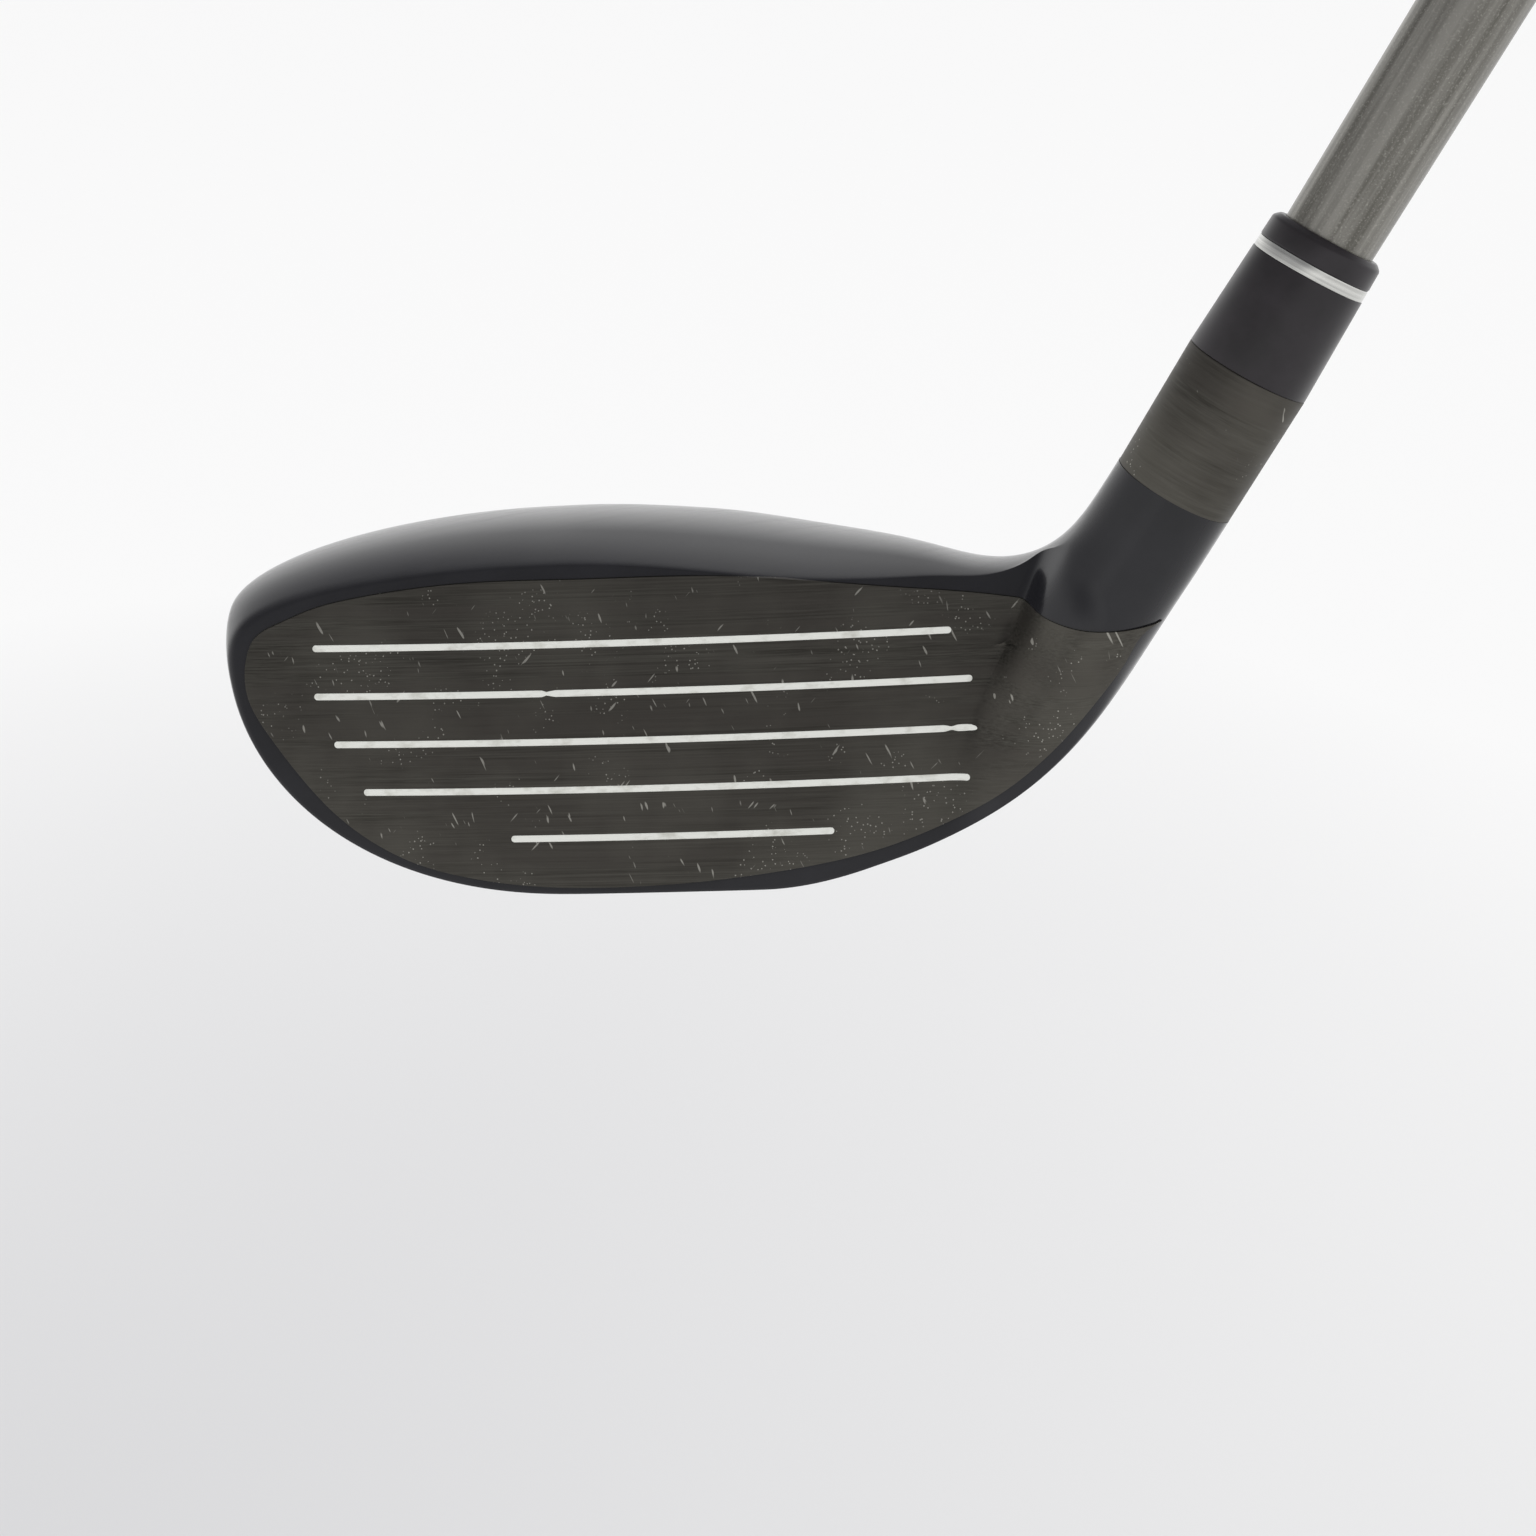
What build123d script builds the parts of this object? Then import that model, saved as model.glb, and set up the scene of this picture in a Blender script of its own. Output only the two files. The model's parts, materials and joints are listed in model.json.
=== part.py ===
"""Hybrid golf club: hollow head, bonded shaft, ferrule, grip and a screw-in sole weight.

Millimetres, +Z up. The club stands in its address position with the origin on the ground
under the middle of the face. The face looks towards -Y, the toe points to -X and the shaft
leaves the heel up and to +X, in the plane y = axis_setback.
"""
from build123d import *
from math import cos, pi, radians, sin, sqrt, tan
import os

os.makedirs("parts", exist_ok=True)

# ---- club -------------------------------------------------------------------------------
club_length = 1016.0       # along the shaft axis, from the ground to the butt end
lie_angle = 61.7           # shaft axis above the ground
face_loft = 22.0           # face leaned back from upright
axis_heel_x = 35.1         # where the shaft axis meets the ground, towards the heel
axis_setback = 12.45       # shaft axis behind the leading edge
fit_gap = 0.05             # clearance on each side of a bonded or pressed fit

# ---- head outside -----------------------------------------------------------------------
toe_tip = (-48.1, 22.8, 28.7)   # the point of the toe
crown_height = 35.9        # crown peak above the ground
head_depth = 60.3          # back edge of the skirt
front_reach = 12.0         # how far the raw body runs ahead of the leading edge, before the face cut
skirt_height = 13.5        # level of the widest line round the back
keel_y = 24.0              # line where the crown is highest and the sole lowest
widest_x = -4.0            # station of the full depth
keel_mid_x = -8.6          # station where the sole is lowest
peak_mid_x = -13.8         # station where the crown is highest
path_height = 20.0         # level of the straight stretch of the section path
turn_length = 38.3         # length of the stretch that turns up into the neck
toe_gap = 0.15             # distance of the first section from the toe's tip
plan_power = 2.08          # superellipse powers of the toe's outline: seen from above,
keel_power = 2.17          # along the sole
peak_power = 1.9           # and along the crown
rear_top_powers = (1.95, 2.06)      # powers of a section's quadrants, across and up
rear_bottom_powers = (1.7, 2.0)
front_top_powers = (2.0, 2.1)
front_bottom_powers = (3.1, 2.6)
middle_blend = (10.0, 60.0)         # stations between which each guide becomes the neck's
sole_blend = (13.5, 59.7)
crown_blend = (-9.6, 62.2)
back_blend_start = 6.0
front_blend = (28.0, 56.0)
bulge_radius = 732.0       # toe-to-heel crown of the face
neck_room = 1.2            # extra radius round the neck that the face cut leaves alone

# ---- walls ------------------------------------------------------------------------------
crown_wall = 1.0
skirt_wall = 1.5
sole_wall = 2.0
face_thickness = 2.3
plate_top_places = (2.0, 6.0, 16.0, 30.0, 46.0, 62.0, 78.0, 84.0)  # where its outline is fixed, from
plate_bottom_places = (80.0, 68.0, 54.0, 40.0, 27.0, 15.0, 7.0)  # the toe's tip towards the heel
plate_heel_shares = (0.98, 0.9, 0.7, 0.4)                          # and round the neck
face_rim = 1.6             # painted rim left round the face plate
heel_rim = 0.3             # rim between the face plate and the neck
plate_reach = 10.0         # how far the plate's column runs each side of the face's middle plane
cavity_end = 40.0          # path station where the hollow stops, short of the shaft bore

# ---- hosel and ferrule, as distances along the shaft axis from the ground ---------------------
neck_radius = 6.54
seam_distance = 48.0       # top of the cast neck
hosel_top = 62.0
spigot_length = 10.0
spigot_radius = 5.75
insertion_depth = 27.0     # shaft inside the hosel
ferrule_ring_start = 72.7
ferrule_ring_width = 1.15
ferrule_top = 76.4
ferrule_top_radius = 5.85
ferrule_edge = 0.4
ring_stand = 0.04          # how far the trim ring stands in from the ferrule's skin

# ---- shaft and grip -------------------------------------------------------------------------
tip_diameter = 9.4
butt_diameter = 15.2
shaft_wall = 1.5
parallel_tip = 120.0       # untapered length at the tip
grip_length = 267.0
grip_mouth_diameter = 17.6
grip_butt_diameter = 26.4
grip_mouth_lip = 0.7
tape_thickness = 0.2
cap_thickness = 6.0
cap_round = 2.2
tape_margin = 3.0
vent_radius = 1.5
stop_thickness = 2.0
tip_weight_length = 14.0

# ---- score lines ------------------------------------------------------------------------------
score_width = 0.74
score_depth = 0.35
score_first = 29.6         # height of the top line up the face
score_pitch = 5.36
score_spans = ((-36.1, 34.6), (-36.2, 36.8), (-34.2, 37.0), (-31.1, 36.3), (-14.6, 21.3))

# ---- sole weight ------------------------------------------------------------------------------
port_x = -4.0
port_y = 42.0
screw_head_radius = 6.0
screw_head_height = 3.6
screw_shank_radius = 2.5
screw_shank_length = 6.5
socket_radius = 2.2
socket_depth = 2.4
washer_thickness = 0.5
bush_wall = 1.5
port_wall = 1.6
running_gap = 0.3          # between the screw and what it passes
thread_gap = 0.3           # on each side of the screw's plain shank
seat_gap = 0.3             # between the washer and the recess
head_sink = 0.4            # how deep the screw's head sits inside the sole
washer_margin = 0.3
badge_length = 30.0
badge_width = 9.0
badge_thickness = 0.6
badge_y = 19.0
pad_length = 34.0
pad_depth = 9.0
pad_front_y = 51.0
pad_height = 11.0

# ---- crown plate and damping pad --------------------------------------------------------------
crown_front_y = 23.0
crown_back_y = 46.0
crown_toe_x = -30.0
crown_heel_x = 20.0
crown_corner = 9.0
crown_parting = 24.0       # level below the crown plate's lowest edge
melt_radius = 8.0
melt_x = -34.0
melt_height = 14.0

section_points = 20        # points round each body section
toe_sections = 8           # body sections from the toe's tip to the widest station
section_pace = 7.5         # distance between body sections beyond it
ample = 160.0              # length that reaches past the head in any direction
halvings = 40              # steps when a place on the head is found by halving
lie = radians(lie_angle)
slope = radians(face_loft)


# ---- planes ----------------------------------------------------------------------------------
def axis_plane(distance):
    """Plane across the shaft axis, local x to the back and local y towards the toe and up."""
    place = (axis_heel_x + distance * cos(lie), axis_setback, distance * sin(lie))
    return Plane(origin=place, x_dir=(0, 1, 0), z_dir=(cos(lie), 0, sin(lie)))


def face_plane(height):
    """Plane across the face's slant, local x to the heel and local y into the head."""
    place = (0, height * sin(slope), height * cos(slope))
    return Plane(origin=place, x_dir=(1, 0, 0), z_dir=(0, sin(slope), cos(slope)))


face_front = Plane(origin=(0, 0, 0), x_dir=(1, 0, 0), z_dir=(0, -cos(slope), sin(slope)))


# ---- body sections --------------------------------------------------------------------------------
def ease(value, start, end):
    """Rise smoothly from 0 at start to 1 at end."""
    t = min(max((value - start) / (end - start), 0.0), 1.0)
    return t * t * (3.0 - 2.0 * t)


def toe_arc(station, middle, tip, power):
    """Quarter superellipse, 1 at the middle station and 0 at the toe's tip."""
    reach = min(max((middle - station) / (middle - tip), 0.0), 1.0)
    return (1.0 - reach**power) ** (1.0 / power)


def turned(length, steps=200):
    """Offsets along and up after a length of the turning stretch."""
    along, up = 0.0, 0.0
    for i in range(steps):
        angle = lie * ease((i + 0.5) / steps * length, 0.0, turn_length)
        along += cos(angle) * length / steps
        up += sin(angle) * length / steps
    return along, up


turn_along, turn_up = turned(turn_length)
turn_start = axis_heel_x + (path_height + turn_up) / tan(lie) - turn_along
turn_end = turn_start + turn_length
seam_station = turn_end + seam_distance - (path_height + turn_up) / sin(lie)


def path_plane(station):
    """Plane of a body section: local x is to the back, local y is up, or towards the crown."""
    turn = min(max(station - turn_start, 0.0), turn_length)
    along, up = turned(turn)
    angle = lie * ease(turn, 0.0, turn_length)
    beyond = max(station - turn_end, 0.0)
    x = min(station, turn_start) + along + beyond * cos(lie)
    z = path_height + up + beyond * sin(lie)
    return Plane(origin=(x, 0, z), x_dir=(0, 1, 0), z_dir=(cos(angle), 0, sin(angle)))


def section_point(station, turn, crown_skin=0.0, sole_skin=0.0, side_skin=0.0):
    """Point of a body section at a turn round it, drawn in from the outside by the skins."""
    tip_x, tip_y, tip_z = toe_tip
    tip_x += side_skin
    plan = toe_arc(station, widest_x, tip_x, plan_power)
    keel = toe_arc(station, keel_mid_x, tip_x, keel_power)
    peak = toe_arc(station, peak_mid_x, tip_x, peak_power)
    to_neck = ease(station, *middle_blend)
    sole_in = ease(station, *sole_blend)
    crown_in = ease(station, *crown_blend)
    back_in = ease(station, back_blend_start, seam_station)
    front_in = ease(station, *front_blend)

    def blend(body, neck, share):
        return body * (1.0 - share) + neck * share

    bottom = tip_z + (sole_skin - tip_z) * keel
    top = tip_z + (crown_height - crown_skin - tip_z) * peak
    back = tip_y + (head_depth - side_skin - tip_y) * plan
    front = tip_y + (side_skin - front_reach - tip_y) * plan
    low = blend(bottom - path_height, sole_skin - neck_radius, sole_in)
    high = blend(top - path_height, neck_radius - crown_skin, crown_in)
    back = blend(back, axis_setback + neck_radius - side_skin, back_in)
    front = blend(front, axis_setback - neck_radius + side_skin, front_in)
    mid_y = blend(tip_y + (keel_y - tip_y) * plan, axis_setback, to_neck)
    mid_z = blend(tip_z + (skirt_height - tip_z) * plan - path_height, 0.0, to_neck)

    across, rise = cos(turn), sin(turn)
    if across >= 0:
        power_y, power_z = rear_top_powers if rise >= 0 else rear_bottom_powers
    else:
        power_y, power_z = front_top_powers if rise >= 0 else front_bottom_powers
    share_y = abs(across) ** (2.0 / blend(power_y, 2.0, to_neck))
    share_z = abs(rise) ** (2.0 / blend(power_z, 2.0, to_neck))
    y = mid_y + (back - mid_y if across >= 0 else front - mid_y) * share_y
    z = mid_z + (high - mid_z if rise >= 0 else low - mid_z) * share_z
    return y, z


def stations(last, side_skin=0.0):
    """Path stations of the body sections, close together at the toe."""
    tip_x = toe_tip[0] + side_skin
    places = [tip_x + toe_gap]
    for i in range(2, toe_sections + 1):
        places.append(tip_x + (widest_x - tip_x) * (1.0 - cos(pi / 2 * i / toe_sections)))
    count = round((last - widest_x) / section_pace)
    for i in range(1, count + 1):
        places.append(widest_x + (last - widest_x) * i / count)
    return places


def body_sketch(station, *skins):
    """Closed smooth section of the body at a path station."""
    with BuildSketch(path_plane(station)) as section:
        with BuildLine():
            ring = [2 * pi * i / section_points for i in range(section_points)]
            Spline([section_point(station, turn, *skins) for turn in ring], periodic=True)
        make_face()
    return section.sketch


# ---- face cut ---------------------------------------------------------------------------------------
def face_sag(half_width, depth):
    """Depth of the bulged face below its middle at half_width, plus an extra depth."""
    return bulge_radius - sqrt(bulge_radius**2 - half_width**2) + depth


def front_block(depth):
    """Everything ahead of the face surface moved back by depth."""
    reach = ample / 2
    with BuildPart() as block:
        with BuildSketch(face_plane(-reach / 2)):
            with BuildLine():
                edge = face_sag(reach, depth)
                ThreePointArc((-reach, edge), (0, depth), (reach, edge))
                Polyline((reach, edge), (reach, -reach), (-reach, -reach), (-reach, edge))
            make_face()
        extrude(amount=ample)
    return block.part


def neck_guard():
    """What the face cut leaves alone: the neck, with some room, and all that lies behind it."""
    radius = neck_radius + neck_room
    with BuildPart() as guard:
        with BuildSketch(axis_plane(-radius)):
            Circle(radius)
            with Locations((ample / 4, 0)):
                Rectangle(ample / 2, 2 * radius)
        extrude(amount=ample)
    return guard.part


def face_cut():
    """Tool that cuts the face, with the neck left standing."""
    with BuildPart() as tool:
        add(front_block(0.0))
        add(neck_guard(), mode=Mode.SUBTRACT)
    return tool.part


def corner(station, upper):
    """Point (along, up the face) where a body section's outline meets the face surface."""
    plane = path_plane(station)
    near, far = (pi / 2, pi) if upper else (3 * pi / 2, pi)
    for _ in range(halvings):
        turn = (near + far) / 2
        spot = plane.from_local_coords(Vector(*section_point(station, turn)))
        if face_depth(spot) > 0:
            near = turn
        else:
            far = turn
    return face_place(spot)


def face_place(spot):
    """Place of a point along and up the face."""
    return spot.X, spot.Y * sin(slope) + spot.Z * cos(slope)


def face_depth(spot):
    """How far a point lies behind the face surface."""
    return spot.Y * cos(slope) - spot.Z * sin(slope) - face_sag(spot.X, 0.0)


def plate_outline():
    """Outline of the face plate: the head's edge drawn in by the painted rim, and the neck's side."""
    upper = [corner(toe_tip[0] + place, True) for place in plate_top_places]
    lower = [corner(toe_tip[0] + place, False) for place in plate_bottom_places]
    guard = neck_radius + neck_room + heel_rim
    heel = []
    for share in plate_heel_shares:
        offset = share * guard
        height = (axis_setback - sqrt(guard**2 - offset**2)) / tan(slope)
        heel.append((axis_heel_x + (height * cos(lie) - offset) / sin(lie), height / cos(slope)))
    return drawn_in(upper + heel[:1], face_rim)[:-1] + heel + drawn_in(heel[-1:] + lower, face_rim)[1:]


def drawn_in(edge, rim):
    """Points of an edge, taken clockwise, each moved inwards by the rim."""
    moved = []
    for i, (x, y) in enumerate(edge):
        before, after = edge[max(i - 1, 0)], edge[min(i + 1, len(edge) - 1)]
        run, rise = after[0] - before[0], after[1] - before[1]
        length = sqrt(run**2 + rise**2)
        moved.append((x + rise / length * rim, y - run / length * rim))
    return moved


def face_layer(depth):
    """Layer of the given depth just behind the face surface."""
    with BuildPart() as layer:
        add(front_block(depth))
        add(front_block(0.0), mode=Mode.SUBTRACT)
    return layer.part


def plate_prism():
    """Column behind the face plate's outline, through the face plate only."""
    with BuildPart() as prism:
        with BuildSketch(face_front):
            with BuildLine():
                Spline(plate_outline(), periodic=True)
            make_face()
        extrude(amount=plate_reach, both=True)
        add(face_layer(face_thickness), mode=Mode.INTERSECT)
    return prism.part


# ---- head blanks ------------------------------------------------------------------------------------
def outside_shape():
    """The whole head as one solid."""
    with BuildPart() as shape:
        for place in stations(seam_station):
            add(body_sketch(place))
        loft()
        add(face_cut(), mode=Mode.SUBTRACT)
    return shape.part


def hollow_shape():
    """The space inside the head, its walls drawn in from the outside."""
    with BuildPart() as shape:
        for place in stations(cavity_end, skirt_wall):
            add(body_sketch(place, crown_wall, sole_wall, skirt_wall))
        loft()
        add(front_block(face_thickness), mode=Mode.SUBTRACT)
    return shape.part


outside = outside_shape()
hollow = hollow_shape()


def sole_height(x, y):
    """Height of the sole above the ground, behind the keel line."""
    near, far = 3 * pi / 2, 2 * pi
    for _ in range(halvings):
        turn = (near + far) / 2
        across, up = section_point(x, turn)
        if across < y:
            near = turn
        else:
            far = turn
    return path_height + up


# ---- sole weight port ---------------------------------------------------------------------------------
port_rise = (sole_height(port_x, port_y + screw_head_radius) - sole_height(port_x, port_y - screw_head_radius))
port_run = sqrt(4 * screw_head_radius**2 + port_rise**2)
port_in = (0, -port_rise / port_run, 2 * screw_head_radius / port_run)
recess_radius = screw_head_radius + running_gap
recess_depth = head_sink + screw_head_height + washer_thickness + seat_gap
bush_radius = screw_shank_radius + thread_gap + bush_wall


def port_plane(depth):
    """Plane across the port's axis, at a depth inside the sole."""
    place = Vector(port_x, port_y, sole_height(port_x, port_y)) + Vector(*port_in) * depth
    return Plane(origin=place, x_dir=(1, 0, 0), z_dir=port_in)


def port_boss():
    """Boss inside the sole that carries the threaded bush."""
    with BuildPart() as boss:
        with BuildSketch(port_plane(sole_wall / 2)):
            Circle(recess_radius + port_wall)
        extrude(amount=recess_depth - sole_wall / 2 + port_wall)
        with BuildSketch(port_plane(recess_depth)):
            Circle(bush_radius + port_wall)
        extrude(amount=screw_shank_length)
    return boss.part


def port_hole():
    """Recess for the screw's head and bore for the bush."""
    with BuildPart() as hole:
        with BuildSketch(port_plane(-sole_wall)):
            Circle(recess_radius)
        extrude(amount=recess_depth + sole_wall)
        with BuildSketch(port_plane(recess_depth)):
            Circle(bush_radius)
        extrude(amount=screw_shank_length)
    return hole.part


with BuildPart() as weight_port_bush:
    with BuildSketch(port_plane(recess_depth)):
        Circle(bush_radius)
        Circle(screw_shank_radius + thread_gap, mode=Mode.SUBTRACT)
    extrude(amount=screw_shank_length)

with BuildPart() as weight_screw:
    with BuildSketch(port_plane(head_sink)):
        Circle(screw_head_radius)
    extrude(amount=screw_head_height)
    with BuildSketch(port_plane(head_sink + screw_head_height)):
        Circle(screw_shank_radius)
    extrude(amount=washer_thickness + seat_gap + screw_shank_length - running_gap)
    with BuildSketch(port_plane(head_sink)):
        RegularPolygon(socket_radius, 6)
    extrude(amount=socket_depth, mode=Mode.SUBTRACT)

with BuildPart() as weight_washer:
    with BuildSketch(port_plane(head_sink + screw_head_height)):
        Circle(screw_head_radius - washer_margin)
        Circle(screw_shank_radius + thread_gap, mode=Mode.SUBTRACT)
    extrude(amount=washer_thickness)


# ---- pieces inside and under the head -------------------------------------------------------------------
with BuildPart() as sole_weight_pad:
    with BuildSketch(Plane.XY):
        with Locations((port_x, pad_front_y + pad_depth / 2)):
            Rectangle(pad_length, pad_depth)
    extrude(amount=pad_height)
    add(hollow, mode=Mode.INTERSECT)

with BuildPart() as damping_melt:
    with Locations((melt_x, keel_y, melt_height)):
        Sphere(melt_radius)
    add(hollow, mode=Mode.INTERSECT)

with BuildPart() as sole_badge:
    with BuildSketch(Plane.XY.offset(-badge_width)):
        with Locations((widest_x, badge_y)):
            SlotOverall(badge_length, badge_width)
    extrude(amount=2 * badge_width)
    add(outside, mode=Mode.INTERSECT)
    add(outside.moved(Location((0, 0, badge_thickness))), mode=Mode.SUBTRACT)

with BuildPart() as crown_plate:
    with BuildSketch(Plane.XY.offset(crown_parting)):
        with Locations(((crown_toe_x + crown_heel_x) / 2, (crown_front_y + crown_back_y) / 2)):
            RectangleRounded(crown_heel_x - crown_toe_x, crown_back_y - crown_front_y, crown_corner)
    extrude(amount=crown_height)
    add(outside, mode=Mode.INTERSECT)
    add(hollow, mode=Mode.SUBTRACT)

with BuildPart() as face_plate_blank:
    add(plate_prism())
    add(outside, mode=Mode.INTERSECT)


# ---- score lines ----------------------------------------------------------------------------------------
with BuildPart() as score_line_paint:
    with BuildSketch(face_front):
        for i, (toe_end, heel_end) in enumerate(score_spans):
            with Locations(((toe_end + heel_end) / 2, score_first - i * score_pitch)):
                SlotOverall(heel_end - toe_end, score_width)
    extrude(amount=plate_reach, both=True)
    add(face_layer(score_depth), mode=Mode.INTERSECT)

with BuildPart() as face_plate:
    add(face_plate_blank.part)
    add(score_line_paint.part, mode=Mode.SUBTRACT)


# ---- turned pieces on the shaft axis ----------------------------------------------------------------------
axis_section = Plane(
    origin=(axis_heel_x, axis_setback, 0), x_dir=(cos(lie), 0, sin(lie)), z_dir=(0, -1, 0)
)
shaft_axis = Axis(origin=(axis_heel_x, axis_setback, 0), direction=(cos(lie), 0, sin(lie)))
tip_radius = tip_diameter / 2
bore_radius = tip_radius + fit_gap
tip_end = hosel_top - insertion_depth
taper_start = tip_end + parallel_tip
grip_end = club_length - cap_thickness
grip_start = club_length - grip_length


def lathe(*outline):
    """Face of an outline of (distance along the shaft axis, radius) points, ready to revolve."""
    with BuildSketch(axis_section) as face:
        with BuildLine():
            Polyline(*outline, close=True)
        make_face()
    return face.sketch


def shaft_radius(distance):
    """Outside radius of the shaft: parallel at the tip, then an even taper to the butt."""
    share = max(distance - taper_start, 0.0) / (grip_end - taper_start)
    return tip_radius + (butt_diameter / 2 - tip_radius) * share


def ferrule_radius(distance):
    """Outside radius of the ferrule, tapering from the hosel to its top."""
    share = (distance - hosel_top) / (ferrule_top - hosel_top)
    return neck_radius + (ferrule_top_radius - neck_radius) * share


with BuildPart() as hosel_tube:
    add(lathe(
        (seam_distance - spigot_length, bore_radius),
        (seam_distance - spigot_length, spigot_radius),
        (seam_distance, spigot_radius),
        (seam_distance, neck_radius),
        (hosel_top, neck_radius),
        (hosel_top, bore_radius),
    ))
    revolve(axis=shaft_axis)

with BuildPart() as shaft_stop_plug:
    with BuildSketch(axis_plane(tip_end - stop_thickness)):
        Circle(tip_radius)
    extrude(amount=stop_thickness)

with BuildPart() as shaft_tube:
    add(lathe(
        (tip_end, tip_radius - shaft_wall),
        (tip_end, tip_radius),
        (taper_start, tip_radius),
        (grip_end, butt_diameter / 2),
        (grip_end, butt_diameter / 2 - shaft_wall),
        (taper_start, tip_radius - shaft_wall),
    ))
    revolve(axis=shaft_axis)

with BuildPart() as shaft_tip_weight:
    with BuildSketch(axis_plane(tip_end)):
        Circle(tip_radius - shaft_wall - fit_gap)
    extrude(amount=tip_weight_length)

ring_end = ferrule_ring_start + ferrule_ring_width

with BuildPart() as ferrule_body:
    add(lathe(
        (hosel_top, bore_radius),
        (hosel_top, neck_radius),
        (ferrule_ring_start, ferrule_radius(ferrule_ring_start)),
        (ferrule_ring_start, bore_radius),
    ))
    revolve(axis=shaft_axis)

with BuildPart() as ferrule_trim_ring:
    add(lathe(
        (ferrule_ring_start, bore_radius),
        (ferrule_ring_start, ferrule_radius(ferrule_ring_start) - ring_stand),
        (ring_end, ferrule_radius(ring_end) - ring_stand),
        (ring_end, bore_radius),
    ))
    revolve(axis=shaft_axis)

with BuildPart() as ferrule_collar:
    add(lathe(
        (ring_end, bore_radius),
        (ring_end, ferrule_radius(ring_end)),
        (ferrule_top - ferrule_edge, ferrule_radius(ferrule_top - ferrule_edge)),
        (ferrule_top, ferrule_top_radius - ferrule_edge),
        (ferrule_top, bore_radius),
    ))
    revolve(axis=shaft_axis)

with BuildPart() as grip_tape:
    add(lathe(
        (grip_start + tape_margin, shaft_radius(grip_start + tape_margin)),
        (grip_start + tape_margin, shaft_radius(grip_start + tape_margin) + tape_thickness),
        (grip_end, shaft_radius(grip_end) + tape_thickness),
        (grip_end, shaft_radius(grip_end)),
    ))
    revolve(axis=shaft_axis)

with BuildPart() as grip_sleeve:
    add(lathe(
        (grip_start, shaft_radius(grip_start) + tape_thickness),
        (grip_start, grip_mouth_diameter / 2 - grip_mouth_lip),
        (grip_start + grip_mouth_lip, grip_mouth_diameter / 2),
        (grip_end, grip_butt_diameter / 2),
        (grip_end, shaft_radius(grip_end) + tape_thickness),
    ))
    revolve(axis=shaft_axis)

with BuildPart() as grip_cap:
    with BuildSketch(axis_plane(grip_end)):
        Circle(grip_butt_diameter / 2)
        Circle(vent_radius, mode=Mode.SUBTRACT)
    extrude(amount=cap_thickness)
    fillet(grip_cap.faces().sort_by(shaft_axis)[-1].outer_wire().edges(), cap_round)


# ---- head body --------------------------------------------------------------------------------------------
with BuildPart() as head_body:
    add(outside)
    add(hollow, mode=Mode.SUBTRACT)
    add(port_boss())
    add(port_hole(), mode=Mode.SUBTRACT)
    add(face_plate_blank.part, mode=Mode.SUBTRACT)
    add(crown_plate.part, mode=Mode.SUBTRACT)
    add(sole_badge.part, mode=Mode.SUBTRACT)
    with BuildSketch(axis_plane(tip_end - stop_thickness)):
        Circle(bore_radius)
    extrude(amount=seam_distance, mode=Mode.SUBTRACT)
    with BuildSketch(axis_plane(seam_distance - spigot_length)):
        Circle(spigot_radius)
    extrude(amount=2 * spigot_length, mode=Mode.SUBTRACT)


# ---- files ----------------------------------------------------------------------------------------------
pieces = {
    "head_body": head_body,
    "crown_plate": crown_plate,
    "face_plate": face_plate,
    "score_line_paint": score_line_paint,
    "hosel_tube": hosel_tube,
    "sole_badge": sole_badge,
    "weight_port_bush": weight_port_bush,
    "weight_washer": weight_washer,
    "weight_screw": weight_screw,
    "sole_weight_pad": sole_weight_pad,
    "damping_melt": damping_melt,
    "shaft_stop_plug": shaft_stop_plug,
    "shaft_tip_weight": shaft_tip_weight,
    "shaft_tube": shaft_tube,
    "ferrule_body": ferrule_body,
    "ferrule_trim_ring": ferrule_trim_ring,
    "ferrule_collar": ferrule_collar,
    "grip_tape": grip_tape,
    "grip_sleeve": grip_sleeve,
    "grip_cap": grip_cap,
}
for name, piece in pieces.items():
    piece.part.label = name
    export_step(piece.part, f"parts/{name}.step")
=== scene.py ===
"""Looks of a hybrid golf club: painted head, brushed face, hosel, ferrule, shaft and grip."""
import json

import bpy
import numpy as np
from bpy.props import FloatProperty, FloatVectorProperty, IntProperty, PointerProperty
from mathutils import Matrix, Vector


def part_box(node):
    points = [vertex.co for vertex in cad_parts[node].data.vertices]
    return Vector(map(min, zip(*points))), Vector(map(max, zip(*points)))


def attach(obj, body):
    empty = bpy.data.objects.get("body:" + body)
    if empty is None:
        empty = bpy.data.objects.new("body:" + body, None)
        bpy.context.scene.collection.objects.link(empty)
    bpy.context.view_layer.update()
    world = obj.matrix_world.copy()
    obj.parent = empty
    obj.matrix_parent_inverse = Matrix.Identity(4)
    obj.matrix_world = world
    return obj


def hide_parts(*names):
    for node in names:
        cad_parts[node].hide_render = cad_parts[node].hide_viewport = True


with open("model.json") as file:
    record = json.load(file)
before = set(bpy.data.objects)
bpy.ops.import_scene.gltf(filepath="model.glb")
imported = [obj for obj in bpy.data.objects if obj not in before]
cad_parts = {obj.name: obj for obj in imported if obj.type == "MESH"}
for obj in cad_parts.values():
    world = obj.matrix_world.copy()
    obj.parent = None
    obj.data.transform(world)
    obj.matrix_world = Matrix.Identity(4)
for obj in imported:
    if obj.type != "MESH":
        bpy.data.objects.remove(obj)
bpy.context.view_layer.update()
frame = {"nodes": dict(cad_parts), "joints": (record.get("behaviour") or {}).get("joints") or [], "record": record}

bl_info = {
    "name": "Hybrid golf club",
    "version": (1, 0, 0),
    "blender": (4, 5, 0),
    "location": "View3D > Sidebar > Club",
    "description": "Builds the finish of a hybrid golf club round its packed frame",
    "category": "Object",
}

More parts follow.
